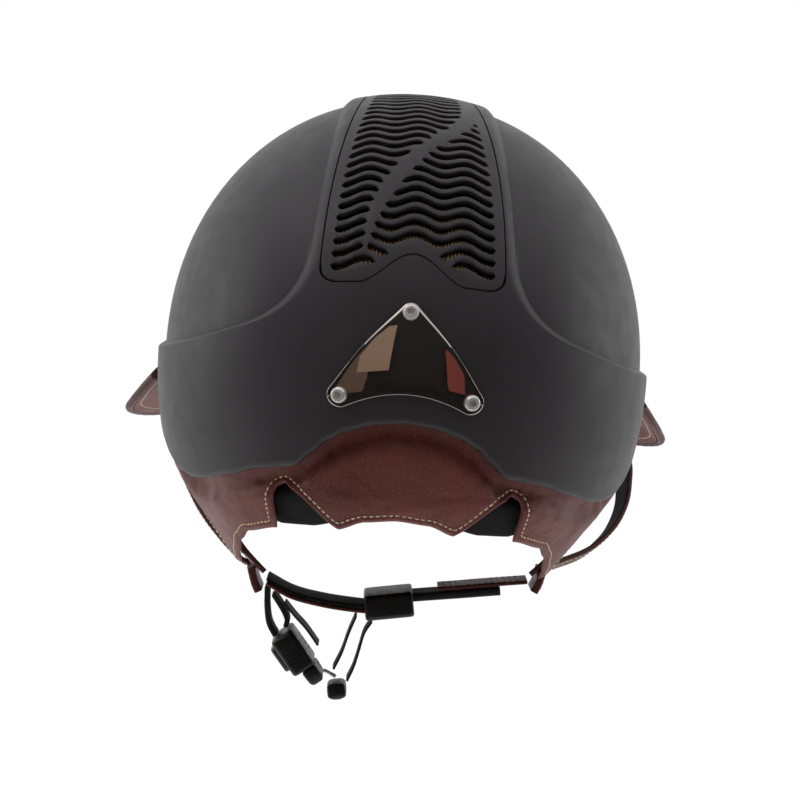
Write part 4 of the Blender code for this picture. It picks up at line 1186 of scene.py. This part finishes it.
def peak():
    """Leather over a stiff board, with a corded edge and stitching on both faces."""
    near = PEAK_CORE / 2 + PEAK_GAP
    for name, side in (("top", 1), ("under", -1)):

        def face(lift, side=side):
            def place(u, v):
                edge = min(v * 60, (1 - v) * 60, 3.0)
                soft = 0.35 * (1 - math.sqrt(max(0.0, 1 - (1 - edge / 3.0) ** 2)))
                soft = soft if lift > near + 0.2 else 0.0
                reach = (peak_surface(u, 1.0) - peak_surface(u, 0.0)).length
                spot = peak_surface(u, v * (1 + 0.95 / max(reach, 12.0)))
                grain = 0.12 * noise.noise(spot / 14) if lift > near + 0.2 else 0.0
                return spot + peak_normal(u, v) * side * (lift - soft + grain)

            return place

        made = slab("peak_skin_" + name, 190, 34, face(near + PEAK_COVER), face(near))
        finish_piece(made, LEATHER, "helmet", ["peak_cover_" + name], 45)
        spots = []
        for u in np.linspace(0.012, 0.988, 400):
            reach = (peak_surface(u, 1.0) - peak_surface(u, 0.0)).length
            v = 1 - PEAK_SEAM / max(reach, 12.0)
            outward = peak_normal(u, v) * side
            spots.append((peak_surface(u, v) + outward * (near + PEAK_COVER + 0.02), outward))
        seam("peak_seam_" + name, spots, "helmet")
    path = []
    for u in np.linspace(0.0, 1.0, 200):
        edge, inside = peak_surface(u, 1.0), peak_surface(u, 0.85)
        along = (peak_surface(min(u + 0.03, 1.0), 1.0) - peak_surface(max(u - 0.03, 0.0), 1.0)).normalized()
        outward = edge - inside
        outward = (outward - along * outward.dot(along)).normalized()
        path.append(edge + outward * (PIPING_RADIUS + 0.6))
    loops = []
    before = Vector((0, 0, 1))
    for i, centre in enumerate(path):
        along = (path[min(i + 1, len(path) - 1)] - path[max(i - 1, 0)]).normalized()
        across = (before - along * before.dot(along)).normalized()
        before, up = across, along.cross(across)
        radius = PIPING_RADIUS * (1 + 0.03 * math.sin(i * 1.9))
        turns = np.linspace(0, math.tau, 17)[:-1]
        loops.append([centre + (across * math.cos(t) + up * math.sin(t)) * radius for t in turns])
    cord = rings("peak_cord", loops)
    finish_piece(cord, STRAP_LEATHER, "helmet", ["peak_piping"], 50)


# ---------- straps ----------


class Strap:
    """A flat strap's route, as in the frame: knots, the way it faces at each end, and its section."""

    def __init__(self, knots, facing, width, thick, taper=1.0, count=90):
        self.path = [curve_at(knots, n / (count - 1)) for n in range(count)]
        self.width, self.thick, self.taper, self.count = width, thick, taper, count
        self.facing = [Vector(f).normalized() for f in facing]
        gaps = [(b - a).length for a, b in zip(self.path, self.path[1:])]
        self.travelled = [sum(gaps[:k]) for k in range(count)]

    def frame_at(self, i):
        u = i / (self.count - 1)
        along = (self.path[min(i + 1, self.count - 1)] - self.path[max(i - 1, 0)]).normalized()
        normal = self.facing[0].lerp(self.facing[1], u)
        normal = (normal - along * normal.dot(along)).normalized()
        return self.path[i], along.cross(normal), normal, self.width * mix(1.0, self.taper, u)

    def solid(self, name, edge=0.6, crown=0.0, wear=0.0):
        """The strap's body, with rounded edges, a slightly crowned face and small waves."""
        loops, marks = [], []
        half = self.thick / 2
        soft = min(edge, half)
        rounding = np.linspace(0, math.pi / 2, 5)
        for i in range(self.count):
            centre, across, normal, width = self.frame_at(i)
            reach = width / 2 - soft
            outline = [(reach + soft * math.cos(t), half - soft + soft * math.sin(t)) for t in rounding]
            outline += [(reach * k, half) for k in (0.86, 0.6, 0.3, 0.0, -0.3, -0.6, -0.86)]
            outline += [(-reach - soft * math.sin(t), half - soft + soft * math.cos(t)) for t in rounding]
            outline += [(-reach - soft * math.cos(t), -half + soft - soft * math.sin(t)) for t in rounding]
            outline += [(reach * k, -half) for k in (-0.8, -0.4, 0.0, 0.4, 0.8)]
            outline += [(reach + soft * math.sin(t), -half + soft - soft * math.cos(t)) for t in rounding]
            ripple = wear * noise.noise(centre / 11)
            loop = []
            for a, b in outline:
                raised = crown * (1 - (a / (width / 2)) ** 2) if b > 0 else 0.0
                loop.append(centre + across * a + normal * (b + raised + ripple))
            loops.append(loop)
            marks.append([(self.travelled[i], a + (width + 4 if b < 0 else 0)) for a, b in outline])
        return rings(name, loops, marks)

    def stitched(self, name, body, inset, side=1, crown=0.0, start=1.5, end=1.5, both=True):
        """Rows of stitches near the strap's long edges, on its outer face or, with side -1, its inner one."""
        rows = []
        for hand in (1, -1) if both else (1,):
            spots = []
            for i in range(self.count):
                if start <= self.travelled[i] <= self.travelled[-1] - end:
                    centre, across, normal, width = self.frame_at(i)
                    a = (width / 2 - inset) * hand
                    lift = self.thick / 2 + crown * (1 - (a / (width / 2)) ** 2) + 0.02
                    spots.append((centre + across * a + normal * lift * side, normal * side))
            rows.append(spots)
        if not both:
            return seam(name, rows[0], body)
        parts = [seam(f"{name}_{k}", spots, body) for k, spots in enumerate(rows)]
        return parts


def lined(made, strap, outer, inner):
    """Gives a strap's back face its lining: faces that look against its outer side."""
    made.data.materials.clear()
    made.data.materials.append(outer)
    made.data.materials.append(inner)
    middle = [(point, strap.frame_at(i)[2]) for i, point in enumerate(strap.path)]
    for face in made.data.polygons:
        spot = Vector(face.center) / MM
        nearest = min(middle[::4], key=lambda pair: (pair[0] - spot).length_squared)
        face.material_index = 1 if face.normal.dot(nearest[1]) < -0.2 else 0


FRONT_ROUTES = {  # from the shell's edge down to the joint
    "left": [(102, -33, -42), (98, -18, -60), (86, 0, -78), (70, 16, -92)],
    "right": [(-107, -31, -40), (-109, -20, -56), (-104, -9, -71), (-90, 5, -83)],
}
FRONT_TOP, REAR_TOP = (110, 8.8), (70, 10.8)  # where the straps come out: degrees from the back, depth
REAR_TOP_HEIGHT = -76.0
STRAP_TAPER, STRAP_INSET, STRAP_STITCH_END = 0.6, 2.0, 3.0
JOINT_SIZE = (20.0, 3.4)  # width and thickness, as for the straps below
JOINT_BENDS = {  # sideways and up from the joint
    "left": [(3.4, 8.6), (2.2, 4.4), (1.0, 0.8), (-0.6, -2.4)],
    "right": [(2.4, 8.6), (1.9, 5.4), (1.0, 2.2), (-0.6, -1.2)],
}


def strap_piece(name, strap, edge, look, node, crown=0.0, wear=0.0, body="chin_strap", angle=50):
    """Makes a strap's body and gives it its look, its place on a moving body and the node it stands for."""
    made = strap.solid(name, edge, crown, wear)
    finish_piece(made, look, body, [node], angle)
    return made


def harness_strap(kind, name, strap, crown, wear, first):
    """A strap of the harness: leather outside, cloth inside, and stitched from the first place on."""
    made = strap_piece(
        f"{kind}_strap_skin_{name}", strap, 0.7, [STRAP_LEATHER], f"{kind}_strap_{name}",
        crown, wear, "helmet",
    )
    lined(made, strap, STRAP_LEATHER, LINING)
    strap.stitched(f"{kind}_strap_seam_{name}", "helmet", STRAP_INSET, 1, crown, first, STRAP_STITCH_END)


def harness():
    for name, side in (("left", 1), ("right", -1)):
        joint = Vector(JOINTS[name])
        outward, forward = Vector((0.82 * side, 0.24, -0.5)), Vector((side, -0.29, -0.05))
        size = (STRAP_WIDTH, STRAP_THICK, STRAP_TAPER)
        degrees, depth = FRONT_TOP
        start = skirt_point(math.radians(degrees * side), STRAP_TOP, depth)
        end = joint + Vector((4.0 * side, -8.0, 7.2))
        knots = [start, *[Vector(k) for k in FRONT_ROUTES[name]], end]
        harness_strap("front", name, Strap(knots, (forward, (side, 0, -0.8)), *size, 120), 0.25, 0.25, 12.0)
        degrees, depth = REAR_TOP
        top = skirt_point(math.radians(degrees * side), REAR_TOP_HEIGHT, depth)
        low = joint + Vector((-2.5 * side, 7.0, 6.8))
        middle = top.lerp(low, 0.5) + Vector((0.8 * side, 0, -0.5))
        rear = Strap([top, middle, low], (outward, (side, 0.2, -0.6)), *size, 60)
        harness_strap("rear", name, rear, 0.2, 0.15, 8.0)
        junction(name, side, joint)


def junction(name, side, joint):
    """The sewn leather end where the two straps meet the chin strap."""
    route = [joint + Vector((x * side, 0, z)) for x, z in JOINT_BENDS[name]]
    pad = Strap(route, ((side, 0, 0.2), (side, 0, -0.5)), *JOINT_SIZE, 1.0, 40)
    strap_piece(
        "strap_joint_skin_" + name, pad, 1.3, STRAP_LEATHER, "strap_joint_" + name,
        0.3, 0.1, "helmet", 60,
    )
    pad.stitched("strap_joint_seam_" + name, "helmet", 2.2, 1, 0.3, 1.0, 1.0)


# ---------- chin strap ----------

LEVEL = JOINTS["left"][1]  # the plane that the chin strap hangs in
DOWN, UP, ACROSS = (0, 0, -1), (0, 0, 1), Vector((0, 1, 0))
CHIN_BAND = [(54.9, -100.9), (43, -106.5), (29, -109.3), (17, -110.5), (6, -111.0), (0, -111.0)]
CHIN_WEBBING = [(2, -105.7), (-14, -103.3), (-32, -100.9), (-50, -98.4)]
CHIN_KEEPER = [(-22, -102.2), (-32, -100.9), (-48, -98.6), (-61.9, -96.7)]
BAND_SIZE, LINING_SIZE = (20.0, 1.6), (19.0, 1.4)
LINING_LIFT, KEEPER_LIFT = 2.0, 3.2  # how far they lie above the lines they follow
WEBBING_THICK, KEEPER_THICK, PLY_THICK = 3.8, 1.6, 1.0
SLIDER_PLACE, SLIDER_SIZE = (-0.5, LEVEL, -107.6), (22, 26, 11.4)  # length, width and thickness
SLIDER_SLOT = (14, 21.6, 9.2)  # half its length, its width and its height, as for the cuts below
SLIDER_RIB, SLIDER_RIB_STEP, SLIDER_RIB_LIFT = (11, 1.0, 1.0), 2.2, 6.15
BUCKLE_PLACE, BUCKLE_LEAN = (41.3, LEVEL, -131.7), (-0.62, 0, -0.785)
BUCKLE_HALF, BUCKLE_WIDTH, BUCKLE_THICK = 9.5, 24, 11
PLUG_DROP = 1.5  # the tongue's plug lies below the housing's middle
MOUTH_SIZE, RECESS_SIZE, RECESS_LIFT = (17.4, 4.6), (7.2, 13.4, 10), 6.2
BACK_RIB, SIDE_RIB, BUTTON_RIB, TONGUE_RIB = (8, 1.1, 1.2), (4.5, 0.8, 1.2), (4.2, 0.9, 1.0), (7, 0.8, 0.9)
BUTTON_SIZE, BUTTON_LIFT = (13, 12, 5.2), 5.6
PIN_RADIUS = 0.85
TIP_PLACE, TIP_LEAN = (20.6, LEVEL, -148.8), (-0.15, 0, -1)
TIP_SHAPE = [  # places along it, with its width and thickness there
    (-3.6, 12, 5.0), (-3.2, 13.2, 6.8), (-2.2, 14, 8.4), (0, 14.2, 8.6),
    (2.2, 14, 8.4), (3.2, 12.4, 6.2), (3.8, 10, 4.0),
]


def on_plane(spots, lift=0.0):
    return [Vector((x, LEVEL, z + lift)) for x, z in spots]


def chin_strap():
    band = Strap(on_plane(CHIN_BAND), (DOWN, DOWN), *BAND_SIZE)
    strap_piece("chin_band_skin", band, 0.6, STRAP_LEATHER, "chin_band", 0.15, 0.12)
    band.stitched("chin_band_seam", "chin_strap", 2.2, 1, 0.15, 1.5, 13.0)
    lining = Strap(on_plane(CHIN_BAND, LINING_LIFT), (UP, UP), *LINING_SIZE)
    made = strap_piece("chin_pad", lining, 0.65, PAD_CLOTH, "chin_lining", 0.3, 0.1)

    strip = Strap(on_plane(CHIN_WEBBING), (DOWN, DOWN), KEEPER_WIDTH, WEBBING_THICK)
    strap_piece("chin_webbing_weave", strip, 1.5, WEBBING, "chin_webbing")
    keeper = Strap(on_plane(CHIN_KEEPER, KEEPER_LIFT), (UP, UP), KEEPER_WIDTH, KEEPER_THICK)
    strap_piece(
        "chin_keeper_skin", keeper, 0.6, STRAP_LEATHER, "chin_keeper_leather", 0.1, 0.1
    )
    keeper.stitched("chin_keeper_seam", "chin_strap", STRAP_INSET, 1, 0.1)

    for name, spots, facing, thick, soft, node in (
        ("hanger_outer", [(54.6, -103.6), (54.2, -112), (52.8, -119.5), (49.7, -125.0)],
         ((1, 0, 0), (0.7, 0, -0.7)), 2.4, 1.0, "buckle_webbing"),
        ("hanger_inner", [(51.5, -106.5), (46.8, -113.3), (44.8, -117.7), (45.3, -120.8)],
         ((0.8, 0, -0.6), (1, 0, 0)), 2.2, 1.0, "buckle_webbing_inner"),
        ("tail", [(46.2, -110.2), (41.5, -115.5), (36, -121.0), (30.3, -128.2)],
         ((-0.7, 0, 0.7), (-0.7, 0, 0.7)), 0.9, 0.4, "webbing_tail"),
    ):
        strand = Strap(on_plane(spots), facing, WEBBING_WIDTH, thick)
        strap_piece(name + "_weave", strand, soft, WEBBING, node)
    slider_tube()
    buckle()
    for name, spots in (
        ("rear", [(6.8, -116.2), (9.8, -121.5), (11.6, -129), (13.6, -137), (16.2, -143.6)]),
        ("front", [(14.0, -114.2), (16.8, -122), (19.4, -131), (22.6, -138.6)]),
    ):
        ply = Strap(on_plane(spots), ((-1, 0, 0), (-1, 0, 0)), WEBBING_WIDTH, PLY_THICK)
        node = "tongue_webbing_" + name
        made = strap_piece("tongue_ply_" + name, ply, 0.45, WEBBING, node, body=None)
        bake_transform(made)


def box_cut(target, size, place, axes, radius):
    """Cuts a rounded box out of a piece: half its length on the second axis, width on the first, height."""
    half, width, height = size
    cut_away(target, block("cut", [(-half, width, height), (half, width, height)], place, axes, radius))


def slider_tube():
    """The flat tube that the strap's ends pass through, with a grip of low ribs."""
    centre, axes = Vector(SLIDER_PLACE), (ACROSS, Vector((1, 0, -0.16)))
    body = rounded_block("slider_tube", *SLIDER_SIZE, centre, axes, 2.4, 1.4, lambda t: 1 - 0.02 * t**4)
    box_cut(body, SLIDER_SLOT, centre, axes, 1.6)
    along = axes[1].normalized()
    thick = ACROSS.cross(along)
    for face in (1, -1):
        for k in range(-3, 4):
            place = centre + along * k * SLIDER_RIB_STEP + thick * face * SLIDER_RIB_LIFT
            box_cut(body, SLIDER_RIB, place, (along, ACROSS), 0.45)
    soften(body, 0.3)
    finish_piece(body, PLASTIC, "slider", ["strap_slider"], 35)


def soften(made, width_mm, segments=2):
    """Rounds the edges that a cut left sharp."""
    edge = made.modifiers.new("edge", "BEVEL")
    edge.width, edge.segments, edge.limit_method = width_mm * MM, segments, "ANGLE"
    edge.angle_limit = math.radians(38)
    edge.use_clamp_overlap = True
    keep_changes(made)


def buckle():
    """Quick-release buckle: its housing, its sprung button, and the tongue with its pin and webbing end."""
    centre, along = Vector(BUCKLE_PLACE), Vector(BUCKLE_LEAN).normalized()
    outward = along.cross(ACROSS)
    plug = centre + outward * -PLUG_DROP
    buckle_housing(centre, along, outward, plug)
    release_button(centre + outward * BUTTON_LIFT, along, outward)
    buckle_tongue(plug, along, outward)
    made = block("webbing_tip", TIP_SHAPE, Vector(TIP_PLACE), (ACROSS, Vector(TIP_LEAN)), 1.6)
    soften(made, 0.4)
    finish_piece(made, PLASTIC, "tongue", ["webbing_end"], 45)


def buckle_housing(centre, along, outward, plug):
    axes = (ACROSS, along)
    housing = rounded_block(
        "buckle_shell", 2 * BUCKLE_HALF, BUCKLE_WIDTH, BUCKLE_THICK, centre, axes, 2.2, 1.6,
        lambda t: 1 - 0.06 * (1 - t) ** 2 / 4 - 0.03 * t**4,
    )
    mouth = [(-6.5, *MOUTH_SIZE), (BUCKLE_HALF + 4, *MOUTH_SIZE)]
    cut_away(housing, block("mouth", mouth, plug, axes, 0.8))
    box_cut(housing, RECESS_SIZE, centre + outward * RECESS_LIFT, axes, 1.2)
    for k in range(4):
        box_cut(housing, BACK_RIB, centre - outward * 5.9 + along * (k * 2.4 - 3.6), (along, ACROSS), 0.5)
    for hand in (1, -1):
        for k in range(5):
            place = centre + ACROSS * hand * 12.1 + along * (k * 1.8 - 3.6)
            box_cut(housing, SIDE_RIB, place, (along, outward), 0.35)
    soften(housing, 0.25)
    finish_piece(housing, PLASTIC, "chin_strap", ["buckle_housing"], 35)


def release_button(middle, along, outward):
    axes = (ACROSS, along)
    button = rounded_block("button_cap", *BUTTON_SIZE, middle, axes, 1.4, 1.2, lambda t: 1 - 0.18 * t**6)
    for k in range(4):
        place = middle + outward * 2.75 + along * (k * 1.9 - 1.0)
        box_cut(button, BUTTON_RIB, place, (along, ACROSS), 0.4)
    soften(button, 0.2)
    finish_piece(button, GREY_PLASTIC, "release_button", ["buckle_button"], 35)


def buckle_tongue(plug, along, outward):
    """The tongue's plug, the wider grip outside the housing, and the pin that its webbing goes round."""
    length = BUCKLE_HALF
    tongue = [
        (-5.0, 14.4, 2.8), (-4.6, 15.4, 3.2), (-3.5, 16.4, 3.6), (0, 16.4, 3.6),
        (length - 1, 16.4, 3.6), (length + 0.5, 16.4, 3.6),
        (length + 0.6, 19.2, 6.2), (length + 1.2, 20, 7.0), (length + 3.6, 19.8, 7.0),
        (length + 6.6, 19, 6.6), (length + 7.8, 17, 5.6), (length + 8.4, 15, 4.6),
    ]
    made = block("tongue_plug", tongue, plug, (ACROSS, along), 1.5)
    for k in range(3):
        for face in (1, -1):
            place = plug + outward * face * 3.6 + along * (length + 2.4 + k * 1.8)
            box_cut(made, TONGUE_RIB, place, (along, ACROSS), 0.35)
    soften(made, 0.2)
    finish_piece(made, PLASTIC, "tongue", ["buckle_tongue"], 35)

    pin_start = plug + along * (length + 6.0) - outward * 4.2
    pin_end = pin_start + Vector((-5.9, 0, -2.75))
    way = (pin_end - pin_start).normalized()
    reach = (pin_end - pin_start).length
    first = [(0.0, 0.3), (0.12, 0.62), (0.35, PIN_RADIUS)]
    ends = first + [(reach - place, radius) for place, radius in first[::-1]]
    finish_piece(turned("tongue_bar", ends, pin_start, way, 20), STEEL, "tongue", ["tongue_pin"], 40)


# ---------- camera, light and floor ----------


def plain(name, colour, roughness=0.6, glow=0.0):
    made = bpy.data.materials.new(name)
    made.use_nodes = True
    shader = made.node_tree.nodes["Principled BSDF"]
    shader.inputs["Base Color"].default_value = (*colour, 1.0)
    shader.inputs["Roughness"].default_value = roughness
    if glow:
        shader.inputs["Emission Color"].default_value = (*colour, 1.0)
        shader.inputs["Emission Strength"].default_value = glow
    return made


def card(name, centre, width, height, colour, turn=0, tilt=0, glow=0.0, shades=True):
    """A flat card in the room, for the polished plate to mirror."""
    mesh = bpy.data.meshes.new(name)
    x, z = width / 2, height / 2
    mesh.from_pydata([(-x, 0, -z), (x, 0, -z), (x, 0, z), (-x, 0, z)], [], [(0, 1, 2, 3)])
    made = bpy.data.objects.new(name, mesh)
    made.location, made.rotation_euler = centre, (math.radians(tilt), 0, math.radians(turn))
    mesh.materials.append(plain(name, colour, 0.8, glow))
    bpy.context.scene.collection.objects.link(made)
    made.visible_camera = False
    made.visible_shadow = False
    made.visible_diffuse = shades
    made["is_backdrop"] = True
    return made


def area_light(name, place, target, size, energy, colour=(1, 1, 1)):
    light = bpy.data.lights.new(name, "AREA")
    light.shape, light.size, light.energy, light.color = "DISK", size, energy, colour
    made = bpy.data.objects.new(name, light)
    made.location = place
    made.rotation_euler = (Vector(target) - Vector(place)).to_track_quat("-Z", "Y").to_euler()
    bpy.context.scene.collection.objects.link(made)


def stage():
    scene = bpy.context.scene
    scene.view_settings.view_transform = "Standard"
    world = bpy.data.worlds.new("room")
    scene.world = world
    world.use_nodes = True
    background = world.node_tree.nodes["Background"]
    background.inputs["Color"].default_value = (1.0, 1.0, 1.0, 1.0)
    background.inputs["Strength"].default_value = ROOM_LIGHT

    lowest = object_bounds()[0][2]
    mesh = bpy.data.meshes.new("floor")
    corners = [(x * FLOOR_REACH, y * FLOOR_REACH, 0) for x, y in ((-1, -1), (1, -1), (1, 1), (-1, 1))]
    mesh.from_pydata(corners, [], [(0, 1, 2, 3)])
    floor = bpy.data.objects.new("floor", mesh)
    floor.location = (0, 0, lowest - FLOOR_BELOW)
    mesh.materials.append(plain("floor", (0.92, 0.92, 0.92), 0.7, 0.12))
    scene.collection.objects.link(floor)
    floor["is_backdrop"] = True

    dark = (0.014, 0.012, 0.011)
    card("dark_wall", (0.0, 1.35, 0.1), 3.6, 2.6, dark)
    card("left_wall", (1.95, 0.75, 0.1), 1.5, 2.6, dark, turn=90)
    card("right_wall", (-1.95, 0.75, 0.1), 1.5, 2.6, dark, turn=90)
    card("near_floor", (0.0, 0.85, lowest - 0.2), 2.6, 1.1, dark, tilt=90, shades=False)
    card("warm_panel", (0.36, 1.3, 0.28), 0.4, 0.46, (0.36, 0.26, 0.19), glow=0.1)
    card("brown_panel", (0.66, 1.31, 0.1), 0.5, 0.6, (0.15, 0.1, 0.075), glow=0.06)
    card("red_panel", (-0.6, 1.3, 0.1), 0.26, 0.42, (0.26, 0.06, 0.05), glow=0.1)

    area_light("key", (0.9, 0.4, 1.5), (0, 0, 0), 0.9, 3.5)
    area_light("left", (1.5, -0.35, 0.3), (0, 0, -0.02), 0.9, 3.5)
    area_light("right", (-1.5, -0.4, 0.3), (0, 0, -0.02), 0.9, 3.0)

    lens = bpy.data.cameras.new("camera")
    lens.lens, lens.sensor_width, lens.shift_y = CAMERA_LENS, CAMERA_SENSOR, CAMERA_SHIFT
    camera = bpy.data.objects.new("camera", lens)
    target = Vector(CAMERA_TARGET)
    sweep, lift = math.radians(CAMERA_SWEEP), math.radians(CAMERA_LIFT)
    away = Vector((math.sin(sweep) * math.cos(lift), math.cos(sweep) * math.cos(lift), math.sin(lift)))
    camera.location = target + away * CAMERA_AWAY
    turn = (-away).to_track_quat("-Z", "Y")
    camera.rotation_euler = (turn @ Quaternion((0, 0, 1), math.radians(CAMERA_ROLL))).to_euler()
    scene.collection.objects.link(camera)
    scene.camera = camera


def main():
    shell_body()
    grille_bars()
    wire_cloth()
    liner_foam()
    crown_cushion()
    band_cushion()
    badge_mirror()
    skirt()
    peak()
    harness()
    chin_strap()
    carried_over = {"peak_core": BOARD}
    for end in ("front", "rear"):
        for side in ("left", "right"):
            carried_over[f"strap_anchor_{end}_{side}"] = PLASTIC
    for node, look in carried_over.items():
        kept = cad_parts[node]
        kept.data.materials.clear()
        kept.data.materials.append(look)
    stage()


main()
